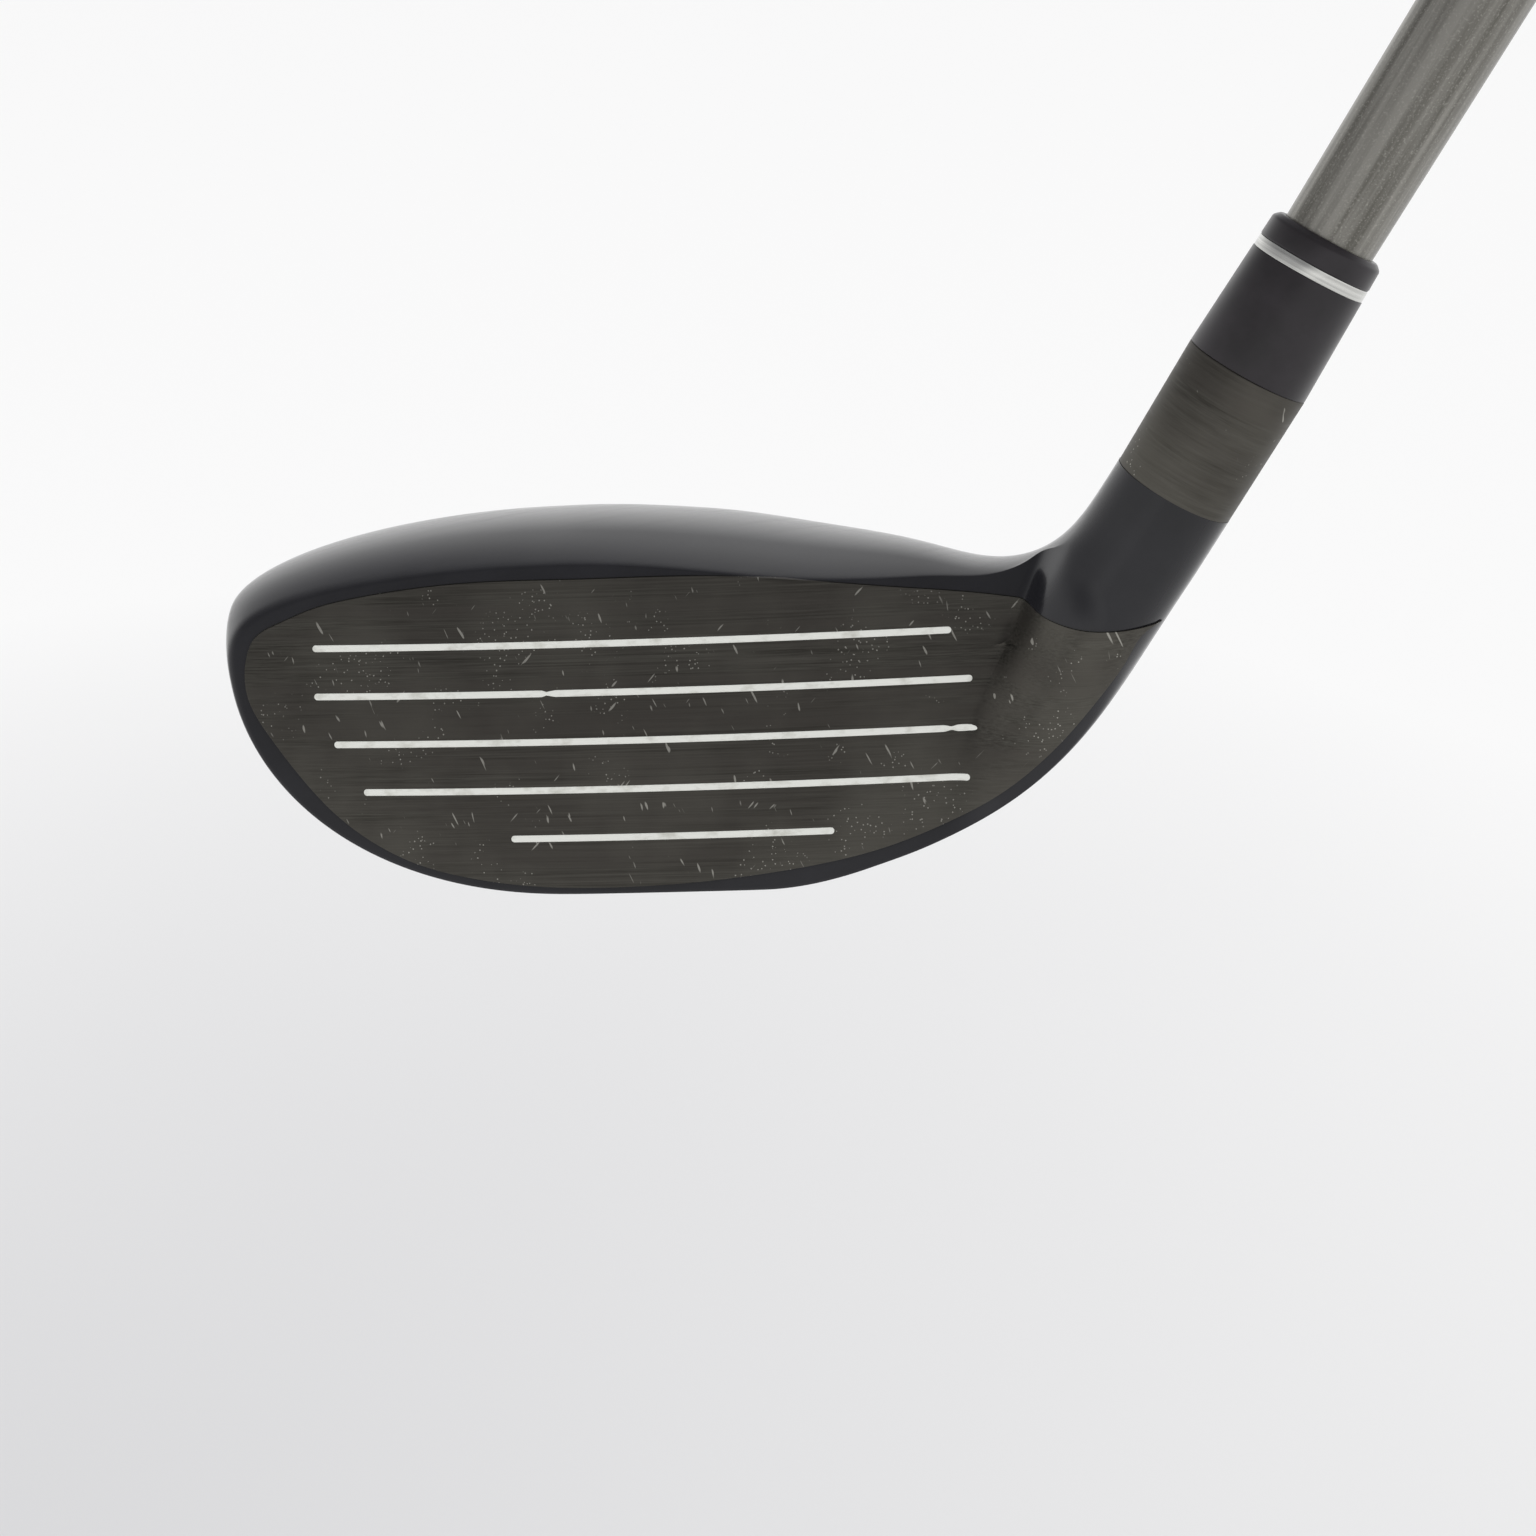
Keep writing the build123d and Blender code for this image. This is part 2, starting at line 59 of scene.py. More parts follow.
MM = 0.001
mounts = {mount["name"]: mount for mount in frame["record"]["mounts"]}
grip_hold = mounts["grip_hold"]
AXIS = np.array(grip_hold["axis"]) / np.linalg.norm(grip_hold["axis"])
LIE = float(np.arctan2(AXIS[2], AXIS[0]))
FOOT = np.array(grip_hold["pos_m"]) / MM
FOOT = FOOT - AXIS * FOOT[2] / AXIS[2]          # where the shaft axis meets the ground, in mm
LOFT = np.radians(22.0)


def reach_along(node):
    """First and last distance along the shaft axis, and the largest radius, of a CAD node, in mm."""
    mesh = frame["nodes"][node].data
    spots = np.empty(len(mesh.vertices) * 3)
    mesh.vertices.foreach_get("co", spots)
    spots = spots.reshape(-1, 3) / MM - FOOT
    along = spots @ AXIS
    radius = np.linalg.norm(spots - along[:, None] * AXIS, axis=1)
    return float(along.min()), float(along.max()), float(radius.max())


SEAM = reach_along("head_body")[1]
HOSEL_TOP = reach_along("hosel_tube")[1]
NECK_RADIUS = reach_along("hosel_tube")[2]

# ---- the head's guides, in mm: the CAD head's, but for the lift and the fuller corner ------------
TOE_TIP = (-48.1, 22.8, 28.7)
CROWN_HEIGHT = 35.9
HEAD_DEPTH = 60.3
FRONT_REACH = 12.0
SKIRT_HEIGHT = 13.5
KEEL_Y = 24.0
WIDEST_X = -4.0
KEEL_MID_X = -8.6
PEAK_MID_X = -13.8
PATH_HEIGHT = 20.0
TURN_LENGTH = 38.3
BULGE_RADIUS = 732.0
PLAN_POWER = 2.08        # superellipse powers of the toe's outline: seen from above,
KEEL_POWER = 2.17        # along the sole
PEAK_POWER = 1.9         # and along the crown
REAR_TOP_POWERS = (1.95, 2.06)       # powers of a section's quadrants, across and up
REAR_BOTTOM_POWERS = (1.7, 2.0)
FRONT_TOP_POWERS = (2.0, 2.1)
FRONT_BOTTOM_POWERS = (3.1, 2.6)
MIDDLE_BLEND = (10.0, 60.0)          # stations between which each guide becomes the neck's
SOLE_BLEND = (13.5, 59.7)
CROWN_BLEND = (-9.6, 62.2)
BACK_BLEND_START = 6.0
FRONT_BLEND = (28.0, 56.0)
HEEL_LIFT = 3.0          # height added to the CAD's crown where it runs down to the neck,
HEEL_LIFT_X = 37.0       # the station where it is largest
HEEL_LIFT_REACH = 15.0   # and the distance over which it dies away
FULLER_CORNER = 0.7      # added to the front top powers towards the heel,
FULLER_BLEND = (-30.0, 15.0)         # between these stations

# ---- turned pieces and the screw's recess, in mm -------------------------------------------------
SHAFT_BORE = 4.75
FERRULE_TOP_RADIUS = 5.85
RECESS_RADIUS = 6.3
BUSH_RADIUS = 4.3
CUTTER_START = -9.2      # places inwards from the middle of the screw's box: outside the sole,
RECESS_FLOOR = -0.8      # the floor of the recess
BUSH_FLOOR = 5.7         # and the end of the bush's seat

# ---- score lines, in mm up the face and along it -------------------------------------------------
SCORE_FIRST = 29.6
SCORE_PITCH = 5.36
SCORE_SPANS = ((-36.1, 34.6), (-36.2, 36.8), (-34.2, 37.2), (-31.1, 36.3), (-14.6, 21.3))


def linear(code, alpha=1.0):
    """A hex colour as linear light."""
    parts = np.array([int(code[i:i + 2], 16) for i in (1, 3, 5)]) / 255.0
    light = np.where(parts <= 0.04045, parts / 12.92, ((parts + 0.055) / 1.055) ** 2.4)
    return (*(float(part) for part in light), alpha)


# ---- settings ------------------------------------------------------------------------------------
def length(name, description, default):
    """A length property in metres."""
    return FloatProperty(name=name, description=description, default=default, unit="LENGTH", precision=5)


def colour(name, description, code):
    """A colour property from a hex colour."""
    return FloatVectorProperty(name=name, description=description, default=linear(code), size=4,
                               subtype="COLOR", min=0.0, max=1.0)


class ClubHeadSettings(bpy.types.PropertyGroup):
    """Sizes and colours of the head."""
    edge_round: length("Edge rounding", "Rounding of the edge between face and body", 1.6 * MM)
    neck_blend: length("Neck blend", "Rounding between the face and the neck", 4.5 * MM)
    neck_room: length("Neck room", "Extra radius round the neck that the face leaves alone", 0.7 * MM)
    rows: IntProperty(name="Rows", description="Rings of the head's skin, toe to neck", default=230)
    turns: IntProperty(name="Turns", description="Points round each ring", default=360)
    paint: colour("Paint", "Gloss enamel of the body", "#1B1B1E")
    steel: colour("Face steel", "Brushed dark steel of the face and hosel", "#5A5853")
    score: colour("Score paint", "Fill of the score lines", "#E9EAE4")


class ClubShaftSettings(bpy.types.PropertyGroup):
    """Sizes and colours of the ferrule and shaft."""
    segments: IntProperty(name="Segments", description="Points round the turned pieces", default=128)
    bevel: length("Bevel", "Small rounding on turned edges", 0.15 * MM)
    shaft: colour("Shaft", "Satin metallic finish of the shaft", "#8E8C86")
    ferrule: colour("Ferrule", "Buffed plastic of the ferrule", "#1D1A1D")


class ClubGripSettings(bpy.types.PropertyGroup):
    """Sizes and colours of the grip."""
    groove_depth: length("Groove depth", "Depth of the moulded grooves", 0.35 * MM)
    groove_pitch: length("Groove pitch", "Distance between moulded grooves", 4.6 * MM)
    rubber: colour("Rubber", "Moulded rubber of the grip", "#1C1C1D")


class ClubStageSettings(bpy.types.PropertyGroup):
    """Floor, light and camera."""
    floor_drop: length("Floor drop", "How far the floor lies below the sole", 0.35)
    floor_radius: length("Floor radius", "Radius of the round floor", 14.0)
    sky: FloatProperty(name="Sky", description="Strength of the pale surroundings", default=1.08, min=0.0)
    lens: FloatProperty(name="Lens", description="Focal length on a 36 mm sensor", default=40.70)


# ---- surfaces ------------------------------------------------------------------------------------
def ease(value, start, end):
    """Smooth step: 3 t squared minus 2 t cubed, with t the share of the way from start to end."""
    t = np.clip((value - start) / (end - start), 0.0, 1.0)
    return t * t * (3.0 - 2.0 * t)


def mix(body, neck, share):
    """Body value and neck value mixed by share."""
    return body * (1.0 - share) + neck * share


def toe_arc(station, middle, power):
    """Quarter superellipse: (1 - reach^p)^(1/p), with reach 0 at the middle and 1 at the toe's tip."""
    reach = np.clip((middle - station) / (middle - TOE_TIP[0]), 0.0, 1.0)
    return (1.0 - reach**power) ** (1.0 / power)


def softer_max(a, b, width):
    """Larger of two surfaces, rounded where they are nearer than width: plus h^3 width / 6."""
    h = np.maximum(width - np.abs(a - b), 0.0) / width
    return np.maximum(a, b) + h**3 * width / 6.0


def softer_min(a, b, width):
    """Smaller of two surfaces, rounded where they are nearer than width."""
    return -softer_max(-a, -b, width)


def path(station):
    """Place and tilt of the section path: level, then a turn whose angle is lie times a smooth step."""
    steps = np.linspace(0.0, TURN_LENGTH, 801)
    angle = LIE * ease(steps, 0.0, TURN_LENGTH)
    stride = steps[1]
    along = np.concatenate([[0.0], np.cumsum((np.cos(angle[1:]) + np.cos(angle[:-1])) / 2 * stride)])
    up = np.concatenate([[0.0], np.cumsum((np.sin(angle[1:]) + np.sin(angle[:-1])) / 2 * stride)])
    start = FOOT[0] + (PATH_HEIGHT + up[-1]) / np.tan(LIE) - along[-1]
    turn = np.clip(station - start, 0.0, TURN_LENGTH)
    beyond = np.maximum(station - start - TURN_LENGTH, 0.0)
    x = np.minimum(station, start) + np.interp(turn, steps, along) + beyond * np.cos(LIE)
    z = PATH_HEIGHT + np.interp(turn, steps, up) + beyond * np.sin(LIE)
    end = start + TURN_LENGTH + SEAM - (PATH_HEIGHT + up[-1]) / np.sin(LIE)
    return x, z, LIE * ease(turn, 0.0, TURN_LENGTH), end


def extremes(station):
    """Guides of the head's sections: lowest, highest, rearmost and foremost reach, the middle,
    how far the shape has become the neck, and the path's place. The guides run from the toe's tip
    along quarter superellipses to the body and ease into the round neck."""
    tip_y, tip_z = TOE_TIP[1:]
    x, z, tilt, seam = path(station)
    plan = toe_arc(station, WIDEST_X, PLAN_POWER)
    keel = toe_arc(station, KEEL_MID_X, KEEL_POWER)
    peak = toe_arc(station, PEAK_MID_X, PEAK_POWER)
    to_neck = ease(station, *MIDDLE_BLEND)
    body_high = tip_z + (CROWN_HEIGHT - tip_z) * peak - PATH_HEIGHT
    body_front = tip_y + (-FRONT_REACH - tip_y) * plan
    low = mix(tip_z - tip_z * keel - PATH_HEIGHT, -NECK_RADIUS, ease(station, *SOLE_BLEND))
    high = mix(body_high, NECK_RADIUS, ease(station, *CROWN_BLEND))
    high = high + HEEL_LIFT * np.exp(-((station - HEEL_LIFT_X) / HEEL_LIFT_REACH) ** 2)
    to_seam = ease(station, BACK_BLEND_START, seam)
    back = mix(tip_y + (HEAD_DEPTH - tip_y) * plan, FOOT[1] + NECK_RADIUS, to_seam)
    front = mix(body_front, FOOT[1] - NECK_RADIUS, ease(station, *FRONT_BLEND))
    middle_y = mix(tip_y + (KEEL_Y - tip_y) * plan, FOOT[1], to_neck)
    middle_z = mix(tip_z + (SKIRT_HEIGHT - tip_z) * plan - PATH_HEIGHT, 0.0, to_neck)
    return low, high, back, front, middle_y, middle_z, to_neck, (x, z, tilt)


def front_powers(station, above, to_neck):
    """Powers of the front quadrants, across and up: above the face the corner fills out to the heel."""
    fuller = FULLER_CORNER * ease(station, *FULLER_BLEND)
    return [mix(np.where(above, top + fuller, bottom), 2.0, to_neck)
            for top, bottom in zip(FRONT_TOP_POWERS, FRONT_BOTTOM_POWERS)]


def raw_head(station, turn):
    """Head before its face is cut: at each station a superellipse through the four extremes, with
    one power for each quadrant: y and height are the extremes times |cos|^(2/p) and |sin|^(2/p)."""
    low, high, back, front, middle_y, middle_z, to_neck, (x, z, tilt) = extremes(station)
    across, rise = np.cos(turn), np.sin(turn)
    behind, above = across >= 0, rise >= 0
    ahead_y, ahead_z = front_powers(station, above, to_neck)
    behind_y, behind_z = (mix(np.where(above, top, bottom), 2.0, to_neck)
                          for top, bottom in zip(REAR_TOP_POWERS, REAR_BOTTOM_POWERS))
    power_y = np.where(behind, behind_y, ahead_y)
    power_z = np.where(behind, behind_z, ahead_z)
    share_y = np.abs(across) ** (2.0 / power_y)
    share_z = np.abs(rise) ** (2.0 / power_z)
    y = middle_y + np.where(behind, back - middle_y, front - middle_y) * share_y
    height = middle_z + np.where(above, high - middle_z, low - middle_z) * share_z
    return np.stack([x - np.sin(tilt) * height, y, z + np.cos(tilt) * height], axis=-1)


def face_front(x, z, settings):
    """Face surface: a plane leaned back by the loft and bulged by x squared over twice the radius,
    joined by a rounded minimum to an enlarged cylinder round the neck."""
    plane = z * np.tan(LOFT) + x**2 / (2.0 * BULGE_RADIUS) / np.cos(LOFT)
    guard = NECK_RADIUS + settings.neck_room / MM
    offset = np.abs((x - FOOT[0]) * np.sin(LIE) - z * np.cos(LIE))
    inside = np.minimum(offset, 0.98 * guard)
    neck = FOOT[1] - np.sqrt(guard**2 - inside**2) + (offset - inside) * 4.9
    return softer_min(plane, neck, settings.neck_blend / MM)


def front_of_head(x, z, settings):
    """Front of the finished head at a place along and up: the station whose section plane passes
    through the place is found by halving, the section's superellipse is solved for its front point,
    and the face surface is laid over it as head_grid does."""
    near, far = np.full(x.shape, TOE_TIP[0] + 0.01), np.full(x.shape, 66.0)
    for _ in range(40):
        station = (near + far) / 2
        path_x, path_z, tilt, _seam = path(station)
        ahead = path_x - np.tan(tilt) * (z - path_z) > x
        near, far = np.where(ahead, near, station), np.where(ahead, station, far)
    height = (z - path_z) / np.cos(tilt)
    low, high, _back, front, middle_y, middle_z, to_neck, _place = extremes(station)
    above = height > middle_z
    share_z = (height - middle_z) / np.where(above, high - middle_z, low - middle_z)
    power_y, power_z = front_powers(station, above, to_neck)
    rise = np.clip(share_z, 0.0, 0.9999) ** (power_z / 2.0)
    across = np.sqrt(1.0 - rise**2)
    y = middle_y + (front - middle_y) * across ** (2.0 / power_y)
    return softer_max(y, face_front(x, z, settings), settings.edge_round / MM)


def edge_turns(station, near, far, fallback, settings):
    """Turn at each station where the raw head passes through the face surface, found on a fine
    sampling between near and far, held at the ends where there is no such crossing, and smoothed."""
    samples = np.linspace(near, far, 361)[None, :]
    spots = raw_head(station, samples)
    depth = spots[..., 1] - face_front(spots[..., 0], spots[..., 2], settings)
    cut = depth < 0
    first = np.argmax(cut, axis=1)
    rows = np.arange(len(first))
    known = cut.any(axis=1) & (first > 0)
    before = np.maximum(first - 1, 0)
    share = depth[rows, before] / (depth[rows, before] - depth[rows, first] + 1e-9)
    turn = samples[0, before] + share * (samples[0, 1] - samples[0, 0])
    line = np.where(known, turn, fallback)
    if known.any():
        line = np.interp(station[:, 0], station[known, 0], turn[known])
    window = np.ones(9) / 9.0
    padded = np.pad(line, 4, mode="edge")
    return np.convolve(padded, window, mode="valid")[:, None]


def head_grid(settings):
    """Rings of the head from toe to neck, their points gathered at the edges of the face."""
    seam = path(np.zeros((1, 1)))[3]
    toe_rows = settings.rows // 3
    quarter = np.linspace(0.053, 1.0, toe_rows) * np.pi / 2
    toe = TOE_TIP[0] + (WIDEST_X - TOE_TIP[0]) * (1.0 - np.cos(quarter))
    rest = np.linspace(WIDEST_X, seam, settings.rows - toe_rows + 1)[1:]
    station = np.concatenate([toe, rest])[:, None]
    upper = edge_turns(station, np.pi / 2, np.pi, 0.75 * np.pi, settings)
    lower = edge_turns(station, 1.5 * np.pi, np.pi, 1.25 * np.pi, settings)
    count = settings.turns
    outer = int(count * 0.37)
    inner = count - 2 * outer

    def gathered(number):
        """Shares from 0 to 1, closer together at both ends."""
        t = np.arange(number) / number
        return (t - 0.6 * np.sin(2 * np.pi * t) / (2 * np.pi))[None, :]

    turn = np.concatenate([
        upper * gathered(outer),
        upper + (lower - upper) * gathered(inner),
        lower + (2 * np.pi - lower) * gathered(outer),
    ], axis=1)
    spots = raw_head(station, turn)
    front = face_front(spots[..., 0], spots[..., 2], settings)
    spots[..., 1] = softer_max(spots[..., 1], front, settings.edge_round / MM)
    return spots


def grid_mesh(name, spots, wrap_rows=False, sharp=35.0):
    """Mesh of a grid of rings. Rings close on themselves; the first and last ring either join each
    other or are closed by a fan to their middle. Faces are turned outwards by the enclosed volume."""
    rows, turns = spots.shape[:2]
    ring = np.arange(rows * turns).reshape(rows, turns)
    following = np.concatenate([ring[1:], ring[:1]]) if wrap_rows else ring[1:]
    leading = ring if wrap_rows else ring[:-1]
    quads = np.stack([leading, np.roll(leading, -1, 1), np.roll(following, -1, 1), following], -1)
    quads = quads.reshape(-1, 4)
    points = spots.reshape(-1, 3)
    fans = np.zeros((0, 3), int)
    if not wrap_rows:
        points = np.concatenate([points, spots[0].mean(0)[None], spots[-1].mean(0)[None]])
        first, last = len(points) - 2, len(points) - 1
        start = np.stack([np.roll(ring[0], -1), ring[0], np.full(turns, first)], -1)
        end = np.stack([ring[-1], np.roll(ring[-1], -1), np.full(turns, last)], -1)
        fans = np.concatenate([start, end])
    halves = np.concatenate([quads[:, (0, 1, 2)], quads[:, (0, 2, 3)], fans])
    corner = points[halves]
    volume = np.einsum("ij,ij->i", corner[:, 0], np.cross(corner[:, 1], corner[:, 2])).sum()
    if volume < 0:
        quads, fans = quads[:, ::-1], fans[:, ::-1]
    mesh = bpy.data.meshes.new(name)
    mesh.vertices.add(len(points))
    mesh.vertices.foreach_set("co", (points * MM).astype(np.float32).ravel())
    corners = np.concatenate([quads.ravel(), fans.ravel()])
    mesh.loops.add(len(corners))
    mesh.loops.foreach_set("vertex_index", corners.astype(np.int32))
    mesh.polygons.add(len(quads) + len(fans))
    starts = np.concatenate([np.arange(len(quads)) * 4, len(quads) * 4 + np.arange(len(fans)) * 3])
    mesh.polygons.foreach_set("loop_start", starts.astype(np.int32))
    mesh.polygons.foreach_set("use_smooth", np.ones(len(starts), bool))
    mesh.update(calc_edges=True)
    mesh.validate()
    mesh.set_sharp_from_angle(angle=np.radians(sharp))
    return mesh


def new_piece(name, mesh, material, body, slot, *nodes):
    """Object of a finished mesh, with its material, body and the nodes it stands for. The slot argument is not
    used.
    """
    piece = bpy.data.objects.new(name, mesh)
    bpy.context.scene.collection.objects.link(piece)
    mesh.materials.append(material)
    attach(piece, body)
    if nodes:
        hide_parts(*nodes)
    return piece


def applied(piece):
    """Replaces a piece's mesh by its modified one and clears its modifiers."""
    depsgraph = bpy.context.evaluated_depsgraph_get()
    mesh = bpy.data.meshes.new_from_object(piece.evaluated_get(depsgraph))
    piece.modifiers.clear()
    piece.data = mesh
    return mesh


def rounded(profile, radius, steps=5):
    """Closed profile of (distance, radius) corners, each corner replaced by a quarter-like arc:
    the quadratic curve (1-t)^2 a + 2t(1-t) corner + t^2 b between points a and b beside it."""
    corner = np.array(profile, float)
    before, after = np.roll(corner, 1, 0) - corner, np.roll(corner, -1, 0) - corner
    size_before = np.linalg.norm(before, axis=1, keepdims=True)
    size_after = np.linalg.norm(after, axis=1, keepdims=True)
    cut = np.minimum(radius, 0.45 * np.minimum(size_before, size_after))
    a = corner + before / size_before * cut
    b = corner + after / size_after * cut
    t = np.linspace(0.0, 1.0, steps)[None, :, None]
    arc = (1 - t) ** 2 * a[:, None] + 2 * t * (1 - t) * corner[:, None] + t**2 * b[:, None]
    return arc.reshape(-1, 2)


def revolved(profile, segments, swell=None):
    """Points of a profile turned round the shaft axis: axis point plus r cos along world Y plus
    r sin along the direction across both. swell adds to the radius from distance and turn."""
    along, radius = profile[:, :1], profile[:, 1:]
    turn = np.linspace(0.0, 2 * np.pi, segments, endpoint=False)[None, :]
    radius = radius + (0.0 if swell is None else swell(along, turn, radius))
    side = np.array([0.0, 1.0, 0.0])
    across = np.cross(AXIS, side)
    return (FOOT + along[..., None] * AXIS + (radius * np.cos(turn))[..., None] * side
            + (radius * np.sin(turn))[..., None] * across)


# ---- materials -----------------------------------------------------------------------------------
def node(tree, kind, links=None, **settings):
    """Adds a shader node, sets its properties and sockets, and links its inputs."""
    made = tree.nodes.new(kind)
    for key, value in settings.items():
        if key.startswith("in_"):
            socket = key[3:].replace("_", " ")
            target = made.inputs[int(socket)] if socket.isdigit() else made.inputs[socket]
            target.default_value = value
        else:
            setattr(made, key, value)
    for key, source in (links or {}).items():
        tree.links.new(source, made.inputs[key])
    return made


def ramp(tree, source, low, high, colour_low=(0, 0, 0, 1), colour_high=(1, 1, 1, 1)):
    """Colour ramp between two positions."""
    made = node(tree, "ShaderNodeValToRGB", {"Fac": source})
    made.color_ramp.elements[0].position = low
    made.color_ramp.elements[1].position = high
    made.color_ramp.elements[0].color = colour_low
    made.color_ramp.elements[1].color = colour_high
    return made.outputs["Color"]


def new_material(name, **surface):
    """Material with one Principled shader, its plain values set on the shader's own sockets."""
    material = bpy.data.materials.new(name)
    material.use_nodes = True
    tree = material.node_tree
    shader = tree.nodes["Principled BSDF"]
    for key, value in surface.items():
        shader.inputs[key.replace("_", " ")].default_value = value
    place = node(tree, "ShaderNodeTexCoord").outputs["Object"]
    return material, tree, shader, place


def stretched(tree, place, scale, turn=(0.0, 0.0, 0.0)):
    """Object coordinates turned and scaled: scale is repeats per metre along each axis."""
    turned = node(tree, "ShaderNodeMapping", {"Vector": place}, vector_type="POINT", in_Rotation=turn)
    return node(tree, "ShaderNodeMapping", {"Vector": turned.outputs[0]}, in_Scale=scale).outputs[0]


def noise(tree, vector, detail=3.0, rough=0.55, scale=1.0):
    """Noise texture on already scaled coordinates."""
    return node(tree, "ShaderNodeTexNoise", {"Vector": vector}, in_Scale=scale, in_Detail=detail,
                in_Roughness=rough).outputs["Fac"]


def math(tree, operation, a, b, clamp=False):
    """Math node on two sources or numbers."""
    made = node(tree, "ShaderNodeMath", operation=operation, use_clamp=clamp)
    for i, value in enumerate((a, b)):
        if isinstance(value, (int, float)):
            made.inputs[i].default_value = value
        else:
            tree.links.new(value, made.inputs[i])
    return made.outputs[0]


def blended(tree, share, a, b):
    """Mix of two colours, each a socket or a plain colour."""
    made = node(tree, "ShaderNodeMix", {0: share}, data_type="RGBA")
    for socket, value in ((made.inputs[6], a), (made.inputs[7], b)):
        if isinstance(value, tuple):
            socket.default_value = value
        else:
            tree.links.new(value, socket)
    return made.outputs[2]


def bump(tree, shader, height, strength, distance):
    """Bump from a height, its distance in metres."""
    made = node(tree, "ShaderNodeBump", {"Height": height}, in_Strength=strength, in_Distance=distance)
    tree.links.new(made.outputs[0], shader.inputs["Normal"])
    return made


def gloss_enamel(settings):
    """Gloss black enamel, sprayed and polished: a clear coat over dark pigment, so it mirrors softly,
    with a faint orange peel about 1.5 mm across and a few hairline wipe marks."""
    material, tree, shader, place = new_material("gloss_black_enamel", IOR=1.5, Coat_Weight=0.15,
                                                 Coat_Roughness=0.05, Specular_IOR_Level=0.25)
    peel = noise(tree, stretched(tree, place, (650.0,) * 3), 2.0)
    haze = noise(tree, stretched(tree, place, (90.0,) * 3), 4.0)
    wipes = noise(tree, stretched(tree, place, (60.0, 60.0, 2500.0), (0.5, 0.3, 0.2)), 2.0)
    tint = ramp(tree, haze, 0.3, 0.75, tuple(settings.paint), linear("#242428"))
    tree.links.new(tint, shader.inputs["Base Color"])
    rough = math(tree, "MULTIPLY_ADD", ramp(tree, wipes, 0.45, 0.75), 0.06)
    tree.nodes[-1].inputs[2].default_value = 0.16
    tree.links.new(rough, shader.inputs["Roughness"])
    bump(tree, shader, peel, 0.08, 0.00004)
    return material


def brushed_steel(name, settings, grain, turn, wear):
    """Dark nickel-finished steel, brushed along one direction with about 0.15 mm lines: satin,
    darker and lighter along the grain, with pale nicks and fine crossing scratches from use."""
    material, tree, shader, place = new_material(name, Metallic=1.0, Anisotropic=0.55)
    fine = noise(tree, stretched(tree, place, grain, turn), 4.0, 0.7)
    broad = noise(tree, stretched(tree, place, tuple(part * 0.12 for part in grain), turn), 3.0)
    cloud = noise(tree, stretched(tree, place, (70.0,) * 3), 3.0)
    base = ramp(tree, fine, 0.3, 0.72, linear("#34322E"), tuple(settings.steel))
    base = blended(tree, ramp(tree, broad, 0.35, 0.7), base, linear("#4B4844"))
    base = blended(tree, math(tree, "MULTIPLY", ramp(tree, cloud, 0.4, 0.7), 0.4), base, linear("#67655E"))
    marks = None
    for angle, wide, long, low in wear:
        lines = noise(tree, stretched(tree, place, (wide, 900.0, long), (0.0, angle, 0.0)), 1.0)
        mark = ramp(tree, lines, low, low + 0.035)
        marks = mark if marks is None else math(tree, "MAXIMUM", marks, mark)
    spots = node(tree, "ShaderNodeTexVoronoi", {"Vector": stretched(tree, place, (420.0,) * 3)},
                 in_Randomness=1.0)
    keep = noise(tree, stretched(tree, place, (150.0,) * 3), 2.0)
    nick = math(tree, "LESS_THAN", spots.outputs["Distance"], 0.17)
    nick = math(tree, "MULTIPLY", nick, ramp(tree, keep, 0.56, 0.62))
    marks = math(tree, "MAXIMUM", marks, nick)
    base = blended(tree, math(tree, "MULTIPLY", marks, 0.6), base, linear("#B8B6AE"))
    tree.links.new(base, shader.inputs["Base Color"])
    tree.links.new(ramp(tree, fine, 0.2, 0.8, (0.34,) * 3 + (1,), (0.52,) * 3 + (1,)),
                   shader.inputs["Roughness"])
    height = math(tree, "SUBTRACT", fine, math(tree, "MULTIPLY", marks, 0.6))
    bump(tree, shader, height, 0.25, 0.00003)
    return material


def score_paint(settings):
    """White enamel wiped into the score lines: dense and a little dirty, half matte."""
    material, tree, shader, place = new_material("white_score_enamel", IOR=1.5, Roughness=0.45)
    grime = noise(tree, stretched(tree, place, (500.0, 500.0, 900.0)), 4.0)
    tone = ramp(tree, grime, 0.5, 0.85, tuple(settings.score), linear("#B9B8AE"))
    tree.links.new(tone, shader.inputs["Base Color"])
    bump(tree, shader, grime, 0.15, 0.00003)
    return material


def buffed_plastic(settings):
    """Cellulose acetate, turned and buffed with solvent: satin black with fine turning marks."""
    material, tree, shader, place = new_material("buffed_cellulose_acetate", IOR=1.48, Coat_Weight=0.05,
                                                 Coat_Roughness=0.2, Specular_IOR_Level=0.35)
    rings = noise(tree, stretched(tree, place, (3000.0, 60.0, 60.0), (0.0, LIE, 0.0)), 2.0)
    haze = noise(tree, stretched(tree, place, (220.0,) * 3), 3.0)
    tone = ramp(tree, haze, 0.35, 0.75, tuple(settings.ferrule), linear("#2A262A"))
    tree.links.new(tone, shader.inputs["Base Color"])
    tree.links.new(ramp(tree, haze, 0.3, 0.8, (0.28,) * 3 + (1,), (0.42,) * 3 + (1,)),
                   shader.inputs["Roughness"])
    bump(tree, shader, rings, 0.12, 0.00002)
    return material


